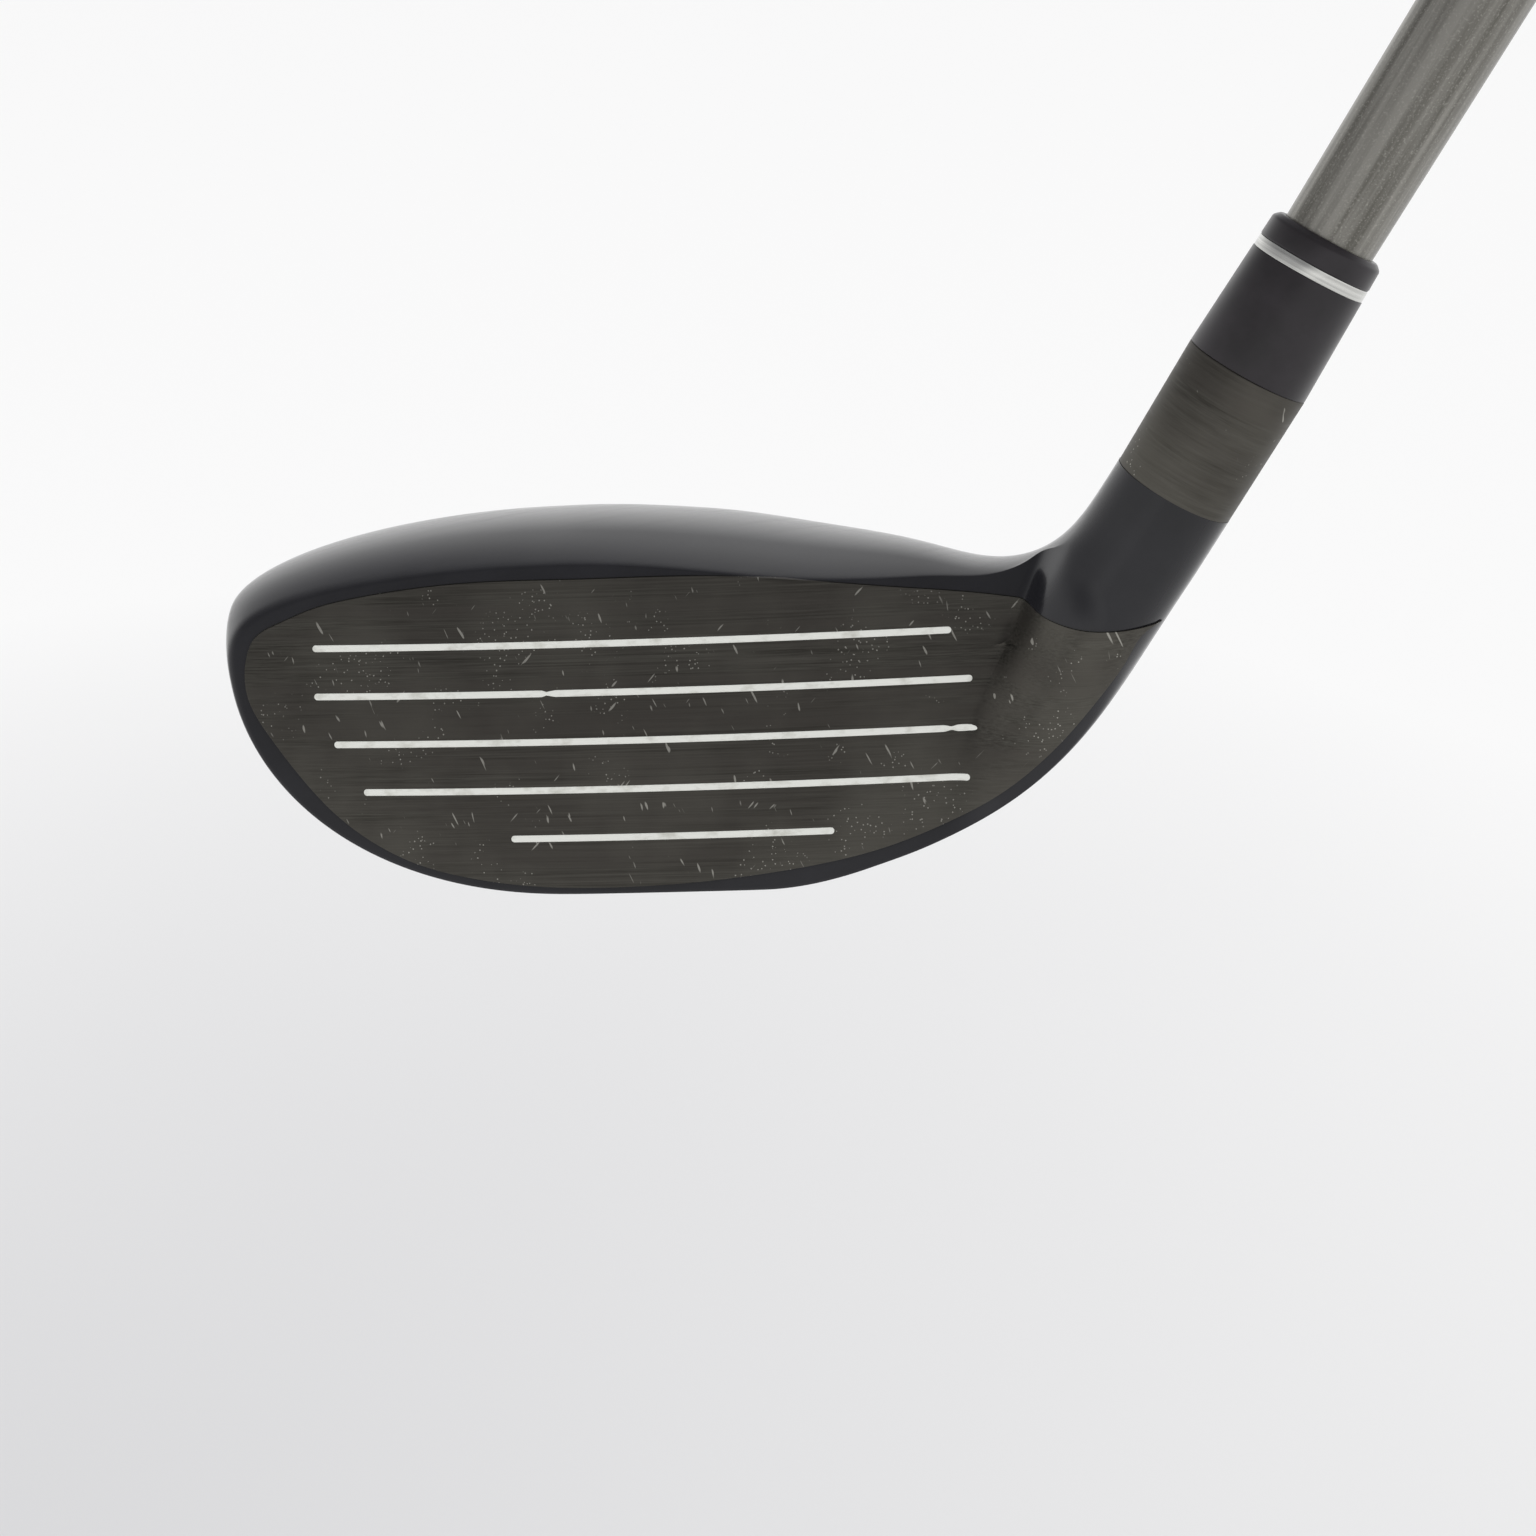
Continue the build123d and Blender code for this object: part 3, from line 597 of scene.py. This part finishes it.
def polished_ring():
    """Anodised aluminium ring, polished: bright with faint turning lines."""
    material, tree, shader, place = new_material("polished_aluminium", Metallic=1.0)
    rings = noise(tree, stretched(tree, place, (4000.0, 90.0, 90.0), (0.0, LIE, 0.0)), 2.0)
    tree.links.new(ramp(tree, rings, 0.3, 0.8, linear("#B9B9B6"), linear("#DCDCD8")),
                   shader.inputs["Base Color"])
    tree.links.new(ramp(tree, rings, 0.3, 0.8, (0.14,) * 3 + (1,), (0.26,) * 3 + (1,)),
                   shader.inputs["Roughness"])
    return material


def satin_shaft(settings):
    """Metallic grey lacquer on a steel shaft, sprayed and rubbed lengthwise: a satin sheen with
    soft long streaks and fine metal flake about 0.2 mm across."""
    material, tree, shader, place = new_material("satin_metallic_lacquer", Metallic=0.75, Coat_Weight=0.25,
                                                 Coat_Roughness=0.25)
    streak = noise(tree, stretched(tree, place, (25.0, 900.0, 900.0), (0.0, LIE, 0.0)), 3.0)
    flake = noise(tree, stretched(tree, place, (5000.0,) * 3), 1.0)
    tone = ramp(tree, streak, 0.35, 0.65, linear("#5E5C56"), tuple(settings.shaft))
    tone = blended(tree, math(tree, "MULTIPLY", ramp(tree, flake, 0.55, 0.8), 0.4), tone, linear("#B4B2AA"))
    tree.links.new(tone, shader.inputs["Base Color"])
    tree.links.new(ramp(tree, streak, 0.3, 0.8, (0.32,) * 3 + (1,), (0.45,) * 3 + (1,)),
                   shader.inputs["Roughness"])
    bump(tree, shader, flake, 0.08, 0.00002)
    return material


def moulded_rubber(settings):
    """Moulded black rubber: dull, with a fine sandblasted texture of about 0.3 mm."""
    material, tree, shader, place = new_material("moulded_rubber", IOR=1.52, Sheen_Weight=0.15)
    grit = noise(tree, stretched(tree, place, (3300.0,) * 3), 3.0, 0.7)
    dust = noise(tree, stretched(tree, place, (60.0,) * 3), 4.0)
    tone = ramp(tree, dust, 0.4, 0.8, tuple(settings.rubber), linear("#2B2B2B"))
    tree.links.new(tone, shader.inputs["Base Color"])
    tree.links.new(ramp(tree, grit, 0.2, 0.8, (0.6,) * 3 + (1,), (0.82,) * 3 + (1,)),
                   shader.inputs["Roughness"])
    bump(tree, shader, grit, 0.5, 0.00008)
    return material


def plain_metal(name, low, high, metallic, rough, grit):
    """Turned, cast or sintered piece that hardly shows: two tones and a fine grain."""
    material, tree, shader, place = new_material(name, Metallic=metallic)
    grain = noise(tree, stretched(tree, place, (grit,) * 3), 3.0)
    tree.links.new(ramp(tree, grain, 0.3, 0.75, linear(low), linear(high)), shader.inputs["Base Color"])
    tree.links.new(ramp(tree, grain, 0.2, 0.8, (rough,) * 3 + (1,), (rough + 0.15,) * 3 + (1,)),
                   shader.inputs["Roughness"])
    bump(tree, shader, grain, 0.2, 0.00003)
    return material


# ---- settings in the scene -----------------------------------------------------------------------
def head_settings():
    return bpy.context.scene.club_head


def shaft_settings():
    return bpy.context.scene.club_shaft


def grip_settings():
    return bpy.context.scene.club_grip


# ---- head ----------------------------------------------------------------------------------------
def port_frame():
    """Middle of the weight screw's box, and the direction inwards along its slide. The middle lies
    0.7 mm off the screw's own axis, because the box is square to the ground and the screw leans."""
    joint = frame["joints"][0]
    out = np.array(joint["axis"], float)
    low, high = (np.array(corner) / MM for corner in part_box("weight_screw"))
    return (low + high) / 2, -out / np.linalg.norm(out)


def stepped_cutter(name):
    """Cutter for the sole: a stepped round recess, turned from a profile round a line through the
    middle of the screw's box, so that it is as far off the screw's axis as that middle is."""
    middle, inward = port_frame()
    thin = 0.01
    profile = np.array([(CUTTER_START, thin), (CUTTER_START, RECESS_RADIUS), (RECESS_FLOOR, RECESS_RADIUS),
                        (RECESS_FLOOR, BUSH_RADIUS), (BUSH_FLOOR, BUSH_RADIUS), (BUSH_FLOOR, thin)])
    turn = np.linspace(0.0, 2 * np.pi, 96, endpoint=False)[None, :]
    side = np.array([1.0, 0.0, 0.0])
    across = np.cross(inward, side)
    spots = (middle + profile[:, :1, None] * inward + (profile[:, 1:] * np.cos(turn))[..., None] * side
             + (profile[:, 1:] * np.sin(turn))[..., None] * across)
    return grid_mesh(name, spots)


def badge_cutter(name):
    """Cutter for the badge: a slot outline, a line with round ends, carried straight up."""
    low, high = (np.array(corner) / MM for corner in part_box("sole_badge"))
    middle = (low + high) / 2
    end = (high[1] - low[1]) / 2
    straight = (high[0] - low[0]) / 2 - end
    turn = np.linspace(0.0, 2 * np.pi, 96, endpoint=False)
    outline = np.stack([np.cos(turn) * end + np.sign(np.cos(turn)) * straight, np.sin(turn) * end], -1)
    levels = np.array([low[2] - 3.0, high[2] - 0.35])
    spots = np.zeros((2, len(turn), 3))
    spots[..., :2] = outline + middle[:2]
    spots[..., 2] = levels[:, None]
    return grid_mesh(name, spots)


def cut_by(piece, cutter_mesh):
    """Cuts a closed piece by a closed cutter mesh and applies the result."""
    cutter = bpy.data.objects.new("cutter", cutter_mesh)
    bpy.context.scene.collection.objects.link(cutter)
    step = piece.modifiers.new("cut", "BOOLEAN")
    step.operation = "DIFFERENCE"
    step.solver = "EXACT"
    step.object = cutter
    mesh = applied(piece)
    bpy.data.objects.remove(cutter)
    mesh.set_sharp_from_angle(angle=np.radians(35.0))


class CLUB_OT_head_skin(bpy.types.Operator):
    """Make the painted head as one skin, with its sole recess"""
    bl_idname = "club.head_skin"
    bl_label = "Head"

    def execute(self, context):
        settings = head_settings()
        mesh = grid_mesh("head_skin", head_grid(settings))
        piece = new_piece("head_skin", mesh, gloss_enamel(settings), "club", "head_paint",
                          "head_body", "crown_plate")
        cut_by(piece, stepped_cutter("recess_cutter"))
        cut_by(piece, badge_cutter("badge_cutter"))
        return {"FINISHED"}


# Edge of the brushed face, clockwise from the toe's top, as mm along the face and above the ground.
# A corner is given twice so that the curve turns sharply there.
BRUSHED_EDGE = (
    (-43.2, 28.0), (-39.0, 30.4), (-32.5, 32.3), (-20.0, 33.8), (-5.0, 34.0), (10.5, 33.8), (28.8, 32.0),
    (37.7, 31.0), (45.9, 29.7), (51.0, 29.3), (56.2, 29.2), (56.2, 29.2), (54.2, 28.0), (51.9, 24.2),
    (45.7, 16.2), (38.8, 10.4), (30.2, 6.6), (20.0, 4.2), (5.0, 2.6), (-9.4, 2.4), (-20.0, 3.6),
    (-27.7, 5.9), (-34.5, 10.2), (-40.5, 16.8), (-44.0, 22.6),
)
FACE_MIDDLE = np.array([2.0, 18.0])
FACE_PROUD = 0.22        # how far the plate stands above the paint


def through(points, count):
    """Closed Catmull-Rom curve through points, sampled evenly by its own parameter: on each span
    the cubic with tangents half the chord between the neighbours."""
    p = np.array(points, float)
    place = np.linspace(0.0, len(p), count, endpoint=False)
    i = place.astype(int)
    t = (place - i)[:, None]
    a, b, c, d = p[i - 1], p[i], p[(i + 1) % len(p)], p[(i + 2) % len(p)]
    return 0.5 * (2 * b + (c - a) * t + (2 * a - 5 * b + 4 * c - d) * t**2 + (3 * b - a - 3 * c + d) * t**3)


class CLUB_OT_face_skin(bpy.types.Operator):
    """Lay the brushed face on the head, as a thin plate inside its painted edge"""
    bl_idname = "club.face_skin"
    bl_label = "Brushed face"

    def execute(self, context):
        settings = head_settings()
        deep = 0.5
        edge = through(BRUSHED_EDGE, 400)
        share = (1.0 - (1.0 - np.linspace(0.0, 1.0, 90)) ** 1.15)[1:, None, None]
        flat = FACE_MIDDLE + share * (edge[None] - FACE_MIDDLE)
        y = front_of_head(flat[..., 0], flat[..., 1], settings)
        front = np.stack([flat[..., 0], y - FACE_PROUD, flat[..., 1]], -1)
        inside = edge - FACE_MIDDLE
        inside = inside * (1.0 - 0.05 / np.linalg.norm(inside, axis=1, keepdims=True))
        front[-2, :, 0], front[-2, :, 2] = (FACE_MIDDLE + inside).T
        front[-2, :, 1] = front_of_head(front[-2, :, 0], front[-2, :, 2], settings) - FACE_PROUD
        front[-1, :, 1] += FACE_PROUD
        back = front[::-1] + (0.0, deep, 0.0)
        mesh = grid_mesh("face_skin", np.concatenate([front, back]), sharp=25.0)
        steel = brushed_steel("dark_nickel_brushed_steel", settings, (45.0, 2600.0, 5200.0),
                              (0.0, 0.0, 0.0), FACE_WEAR)
        new_piece("face_skin", mesh, steel, "club", "brushed_face", "face_plate")
        return {"FINISHED"}


# Fine crossing scratches on the face: lean of the mark, repeats per metre across and along it, and
# how rare it is.
FACE_WEAR = ((0.45, 1700.0, 110.0, 0.735), (0.2, 1500.0, 150.0, 0.75), (-0.75, 1900.0, 90.0, 0.765))
HOSEL_WEAR = ((0.3, 1800.0, 160.0, 0.76), (-1.1, 1800.0, 140.0, 0.77))


def chipped(along, spot, wide, deep):
    """Share of the paint left along a line beside a chip: 1 minus deep times a bell curve."""
    return 1.0 - deep * np.exp(-((along - spot) / wide) ** 2)


class CLUB_OT_score_fill(bpy.types.Operator):
    """Fill the score lines with slightly domed paint, chipped in two places"""
    bl_idname = "club.score_fill"
    bl_label = "Score line paint"

    def execute(self, context):
        settings = head_settings()
        half, proud = 0.37, 0.05
        turn = np.linspace(0.0, 2 * np.pi, 16, endpoint=False)[None, :]
        meshes = []
        for i, (toe_end, heel_end) in enumerate(SCORE_SPANS):
            share = np.linspace(0.0, 1.0, 260)
            along = toe_end + (heel_end - toe_end) * (share - 0.9 * np.sin(2 * np.pi * share) / (2 * np.pi))
            end = np.clip((np.abs(along - (toe_end + heel_end) / 2) - (heel_end - toe_end) / 2 + half)
                          / half, 0.0, 0.999)
            width = half * np.sqrt(1.0 - end**2)
            if i == 1:
                width = width * chipped(along, -9.8, 0.35, 0.6)
            if i == 2:
                width = width * chipped(along, 34.4, 0.5, 0.45) * chipped(along, heel_end, 0.6, 0.4)
            up = (SCORE_FIRST - i * SCORE_PITCH + width[:, None] * np.cos(turn)) * np.cos(LOFT)
            x = np.broadcast_to(along[:, None], up.shape)
            lift = np.where(np.sin(turn) > 0, proud, 0.3) * np.sin(turn) * (width[:, None] / half) ** 0.5
            y = face_front(x, up, settings) - FACE_PROUD - lift
            meshes.append(np.stack([x, y, up], -1))
        pieces = [grid_mesh(f"score_fill_{i + 1}", spots, sharp=60.0) for i, spots in enumerate(meshes)]
        paint = score_paint(settings)
        for i, mesh in enumerate(pieces):
            stands_for = ("score_line_paint",) if i == 0 else ()
            new_piece(f"score_fill_{i + 1}", mesh, paint, "club", "score_paint", *stands_for)
        return {"FINISHED"}


# ---- hosel, ferrule and shaft --------------------------------------------------------------------
def turned_piece(name, profile, material, slot, *nodes, swell=None, segments=None, loop=True, bevel=None):
    """Turned piece from a closed profile of (distance along the shaft axis, radius) corners."""
    settings = shaft_settings()
    rounding = settings.bevel / MM if bevel is None else bevel
    line = rounded(profile, rounding) if rounding else np.array(profile, float)
    spots = revolved(line, segments or settings.segments, swell)
    mesh = grid_mesh(name, spots, wrap_rows=loop)
    return new_piece(name, mesh, material, "club", slot, *nodes)


class CLUB_OT_hosel(bpy.types.Operator):
    """Make the bare brushed hosel"""
    bl_idname = "club.hosel"
    bl_label = "Hosel"

    def execute(self, context):
        steel = brushed_steel("dark_nickel_hosel_steel", head_settings(), (2600.0, 130.0, 130.0),
                              (0.0, LIE, 0.0), HOSEL_WEAR)
        bore = SHAFT_BORE
        profile = [(SEAM - 6.0, bore), (SEAM - 6.0, NECK_RADIUS - 0.6), (SEAM - 0.2, NECK_RADIUS - 0.6),
                   (SEAM - 0.05, NECK_RADIUS - 0.02), (HOSEL_TOP, NECK_RADIUS - 0.02), (HOSEL_TOP, bore)]
        turned_piece("hosel_skin", profile, steel, "brushed_hosel", "hosel_tube")
        return {"FINISHED"}


class CLUB_OT_ferrule(bpy.types.Operator):
    """Make the ferrule, its silver ring and its collar"""
    bl_idname = "club.ferrule"
    bl_label = "Ferrule"

    def execute(self, context):
        plastic = buffed_plastic(shaft_settings())
        start, ring_start, radius = reach_along("ferrule_body")
        ring_end = reach_along("ferrule_trim_ring")[1]
        top = reach_along("ferrule_collar")[1]
        top_radius = FERRULE_TOP_RADIUS
        bore = SHAFT_BORE

        def skin(along):
            """Radius of the ferrule, tapering straight from hosel to top."""
            return radius + (top_radius - radius) * (along - start) / (top - start)

        body = [(start, bore), (start, radius - 0.03), (ring_start, skin(ring_start)), (ring_start, bore)]
        ring = [(ring_start, bore), (ring_start, skin(ring_start) - 0.04),
                (ring_end, skin(ring_end) - 0.04), (ring_end, bore)]
        collar = [(ring_end, bore), (ring_end, skin(ring_end)), (top - 0.5, skin(top - 0.5)),
                  (top, top_radius - 0.55), (top, bore)]
        turned_piece("ferrule_skin", body, plastic, "ferrule_plastic", "ferrule_body", bevel=0.08)
        turned_piece("ferrule_ring_skin", ring, polished_ring(), "trim_ring", "ferrule_trim_ring", bevel=0.06)
        turned_piece("ferrule_collar_skin", collar, plastic, "ferrule_plastic", "ferrule_collar", bevel=0.2)
        return {"FINISHED"}


class CLUB_OT_shaft(bpy.types.Operator):
    """Make the shaft: parallel at the tip, then an even taper to the butt"""
    bl_idname = "club.shaft"
    bl_label = "Shaft"

    def execute(self, context):
        tip, butt, butt_radius = reach_along("shaft_tube")
        tip_radius, parallel, wall = 4.7, 120.0, 1.5
        taper = np.linspace(tip + parallel, butt, 60)
        outside = tip_radius + (butt_radius - tip_radius) * (taper - taper[0]) / (butt - taper[0])
        near = np.linspace(tip, tip + parallel, 30)[:-1]
        profile = np.concatenate([
            np.stack([near, np.full_like(near, tip_radius)], -1),
            np.stack([taper, outside], -1),
            np.stack([taper[::-1], outside[::-1] - wall], -1),
            [(tip, tip_radius - wall)],
        ])
        turned_piece("shaft_skin", profile, satin_shaft(shaft_settings()), "shaft_finish", "shaft_tube",
                     bevel=0.0)
        return {"FINISHED"}


class CLUB_OT_grip(bpy.types.Operator):
    """Make the rubber grip with its moulded grooves, and its cap with the vent hole"""
    bl_idname = "club.grip"
    bl_label = "Grip"

    def execute(self, context):
        settings = grip_settings()
        rubber = moulded_rubber(settings)
        start, end, butt_radius = reach_along("grip_sleeve")
        mouth_radius = 8.8
        depth, pitch = settings.groove_depth / MM, settings.groove_pitch / MM
        plain = 26.0
        along = np.concatenate([start + np.array([0.0, 0.15, 0.45, 0.9]),
                                np.linspace(start + 1.6, end - 0.6, 620), [end - 0.3, end]])
        skin = mouth_radius + (butt_radius - mouth_radius) * (along - start) / (end - start)
        skin = skin - 0.7 * np.clip(1.0 - (along - start) / 0.9, 0.0, 1.0) ** 2
        inner = 6.9
        profile = np.concatenate([np.stack([along, skin], -1), [(end, inner), (start, inner)]])

        def swell(distance, turn, radius):
            """Two crossing families of helical grooves, each the depth times a narrow bell of the
            phase, fading out at the mouth and the cap, and plain rings next to them."""
            turns = 10.0
            phase_a = distance / pitch + turns * turn / (2 * np.pi)
            phase_b = distance / pitch - turns * turn / (2 * np.pi)

            def groove(phase):
                return np.exp(-((np.mod(phase, 1.0) - 0.5) / 0.11) ** 2)

            field = ease(distance, start + plain, start + plain + 2.0)
            field = field * (1.0 - ease(distance, end - plain, end - plain + 2.0))
            rings = sum(np.exp(-((distance - place) / 0.5) ** 2)
                        for place in (start + 12.0, start + 15.0, end - 12.0, end - 15.0))
            outside = radius > inner + 0.3
            crossed = np.maximum(groove(phase_a), groove(phase_b)) * field
            return np.where(outside, -depth * np.maximum(crossed, rings), 0.0)

        turned_piece("grip_skin", profile, rubber, "grip_rubber", "grip_sleeve", "grip_tape", swell=swell,
                     segments=140, bevel=0.0)
        cap_start, cap_end, cap_radius = reach_along("grip_cap")
        vent = 1.5
        cap = [(cap_start, vent), (cap_start, cap_radius), (cap_end - 2.2, cap_radius),
               (cap_end - 0.65, cap_radius - 0.65), (cap_end, cap_radius - 2.2), (cap_end, 5.2),
               (cap_end - 0.5, 4.8), (cap_end - 0.5, 2.6),
               (cap_end - 0.2, 2.2), (cap_end - 0.2, vent)]
        turned_piece("grip_cap_skin", cap, rubber, "grip_rubber", "grip_cap", bevel=0.5)
        return {"FINISHED"}


# ---- fittings that keep their CAD shape ----------------------------------------------------------
FITTINGS = (
    ("sole_badge", "satin_anodised_badge", "#5E5F61", "#77787A", 0.9, 0.32, 900.0),
    ("weight_port_bush", "turned_stainless_bush", "#8E8F90", "#A9A9A8", 1.0, 0.28, 1500.0),
    ("weight_washer", "pressed_stainless_washer", "#9A9A99", "#B2B2B0", 1.0, 0.3, 1500.0),
    ("weight_screw", "sintered_tungsten_screw", "#5A5957", "#757370", 1.0, 0.3, 1200.0),
    ("sole_weight_pad", "sintered_tungsten_pad", "#565553", "#6C6A67", 1.0, 0.45, 900.0),
    ("damping_melt", "tacky_hot_melt", "#C9B98C", "#D8CBA2", 0.0, 0.35, 200.0),
    ("shaft_stop_plug", "moulded_nylon_plug", "#D9D6C9", "#E4E1D6", 0.0, 0.45, 600.0),
    ("shaft_tip_weight", "turned_brass_plug", "#A8833E", "#BF9A52", 1.0, 0.25, 1500.0),
)


class CLUB_OT_fittings(bpy.types.Operator):
    """Give the small fittings their materials"""
    bl_idname = "club.fittings"
    bl_label = "Fittings"

    def execute(self, context):
        for name, label, low, high, metallic, rough, grit in FITTINGS:
            fitting = frame["nodes"][name]
            fitting.data.materials.clear()
            fitting.data.materials.append(plain_metal(label, low, high, metallic, rough, grit))
        return {"FINISHED"}


# ---- stage ---------------------------------------------------------------------------------------
CAMERA_PLACE = (0.025101, -0.163295, 0.102095)
CAMERA_RIGHT = (0.998033, 0.038640, -0.049358)
CAMERA_DOWN = (-0.025926, -0.462461, -0.886260)
CAMERA_AHEAD = (-0.057071, 0.885797, -0.460550)


class CLUB_OT_stage(bpy.types.Operator):
    """Set the pale floor, painted darker round a spot beside the toe as painted shade, the soft surroundings and
    the camera
    """
    bl_idname = "club.stage"
    bl_label = "Stage"

    def execute(self, context):
        settings = context.scene.club_stage
        turn = np.linspace(0.0, 2 * np.pi, 96, endpoint=False)[None, :]
        radius = np.array([0.01, 1.0, 1.0, 0.01])[:, None] * settings.floor_radius / MM
        level = np.array([0.0, 0.0, -20.0, -20.0])[:, None] - settings.floor_drop / MM
        spots = np.stack([radius * np.cos(turn), radius * np.sin(turn), level + 0.0 * turn], -1)
        floor = bpy.data.objects.new("floor", grid_mesh("floor", spots))
        bpy.context.scene.collection.objects.link(floor)
        material, tree, shader, place = new_material("matte_paper_painted_shade", Roughness=0.95, IOR=1.3)
        # painted shade: the floor's colour darkens towards a spot beside the toe, its edge broken by noise, where
        # light falls off
        spot = node(tree, "ShaderNodeCombineXYZ", in_X=-0.3, in_Y=0.1, in_Z=-settings.floor_drop).outputs[0]
        far = node(tree, "ShaderNodeVectorMath", {0: place, 1: spot}, operation="DISTANCE").outputs["Value"]
        cloud = noise(tree, stretched(tree, place, (1.5,) * 3), 2.0)
        far = math(tree, "ADD", far, math(tree, "MULTIPLY", cloud, 0.2))
        tone = ramp(tree, far, 0.1, 1.0, linear("#D6D6D8"), linear("#FCFCFC"))
        tree.links.new(tone, shader.inputs["Base Color"])
        floor.data.materials.append(material)

        world = bpy.data.worlds.new("soft_studio")
        context.scene.world = world
        world.use_nodes = True
        tree = world.node_tree
        tree.nodes.clear()
        place = node(tree, "ShaderNodeTexCoord").outputs["Generated"]
        parts = node(tree, "ShaderNodeSeparateXYZ", {0: place})
        front = math(tree, "MULTIPLY", parts.outputs["Y"], -1.0)
        above = ramp(tree, parts.outputs["Z"], 0.1, 0.42)
        dim = math(tree, "MULTIPLY", ramp(tree, front, 0.35, 0.85), above)
        shade = blended(tree, dim, (1.0, 1.0, 1.0, 1.0), (0.3, 0.3, 0.31, 1.0))
        # rays that mirror see a darker overhead, and the camera sees an even white
        ray = node(tree, "ShaderNodeLightPath").outputs
        overhead = math(tree, "MULTIPLY", ramp(tree, parts.outputs["Z"], 0.2, 0.55), ray["Is Glossy Ray"])
        shade = blended(tree, overhead, shade, (0.28, 0.28, 0.29, 1.0))
        lit = node(tree, "ShaderNodeBackground", {"Color": shade}, in_Strength=settings.sky)
        seen = node(tree, "ShaderNodeBackground", in_Color=(0.95, 0.95, 0.95, 1.0), in_Strength=1.0)
        both = node(tree, "ShaderNodeMixShader",
                    {0: ray["Is Camera Ray"], 1: lit.outputs[0], 2: seen.outputs[0]})
        node(tree, "ShaderNodeOutputWorld", {"Surface": both.outputs[0]})

        camera = bpy.data.objects.new("camera", bpy.data.cameras.new("camera"))
        camera.data.lens = settings.lens
        camera.data.sensor_width = 36.0
        camera.data.clip_start = 0.005
        right, down, ahead = (np.array(row) for row in (CAMERA_RIGHT, CAMERA_DOWN, CAMERA_AHEAD))
        turned = Matrix([[*row] for row in np.stack([right, -down, -ahead], 1)]).to_4x4()
        turned.translation = CAMERA_PLACE
        camera.matrix_world = turned
        context.scene.collection.objects.link(camera)
        context.scene.camera = camera
        context.scene.view_settings.view_transform = "Standard"
        return {"FINISHED"}


# ---- add-on --------------------------------------------------------------------------------------
OPERATORS = (CLUB_OT_head_skin, CLUB_OT_face_skin, CLUB_OT_score_fill, CLUB_OT_hosel, CLUB_OT_ferrule,
             CLUB_OT_shaft, CLUB_OT_grip, CLUB_OT_fittings, CLUB_OT_stage)
GROUPS = {"club_head": ClubHeadSettings, "club_shaft": ClubShaftSettings,
          "club_grip": ClubGripSettings, "club_stage": ClubStageSettings}


class CLUB_PT_panel(bpy.types.Panel):
    """Lists the club's settings and pieces"""
    bl_label = "Hybrid golf club"
    bl_idname = "CLUB_PT_panel"
    bl_space_type = "VIEW_3D"
    bl_region_type = "UI"
    bl_category = "Club"

    def draw(self, context):
        for name, group in GROUPS.items():
            box = self.layout.box()
            for key in group.__annotations__:
                box.prop(getattr(context.scene, name), key)
        for operator in OPERATORS:
            self.layout.operator(operator.bl_idname)


def register():
    for kind in (*GROUPS.values(), *OPERATORS, CLUB_PT_panel):
        bpy.utils.register_class(kind)
    for name, group in GROUPS.items():
        setattr(bpy.types.Scene, name, PointerProperty(type=group))


def unregister():
    for name in GROUPS:
        delattr(bpy.types.Scene, name)
    for kind in reversed((*GROUPS.values(), *OPERATORS, CLUB_PT_panel)):
        bpy.utils.unregister_class(kind)


def main():
    register()
    for operator in OPERATORS:
        group, action = operator.bl_idname.split(".")
        getattr(getattr(bpy.ops, group), action)()


if __name__ == "__main__":
    main()
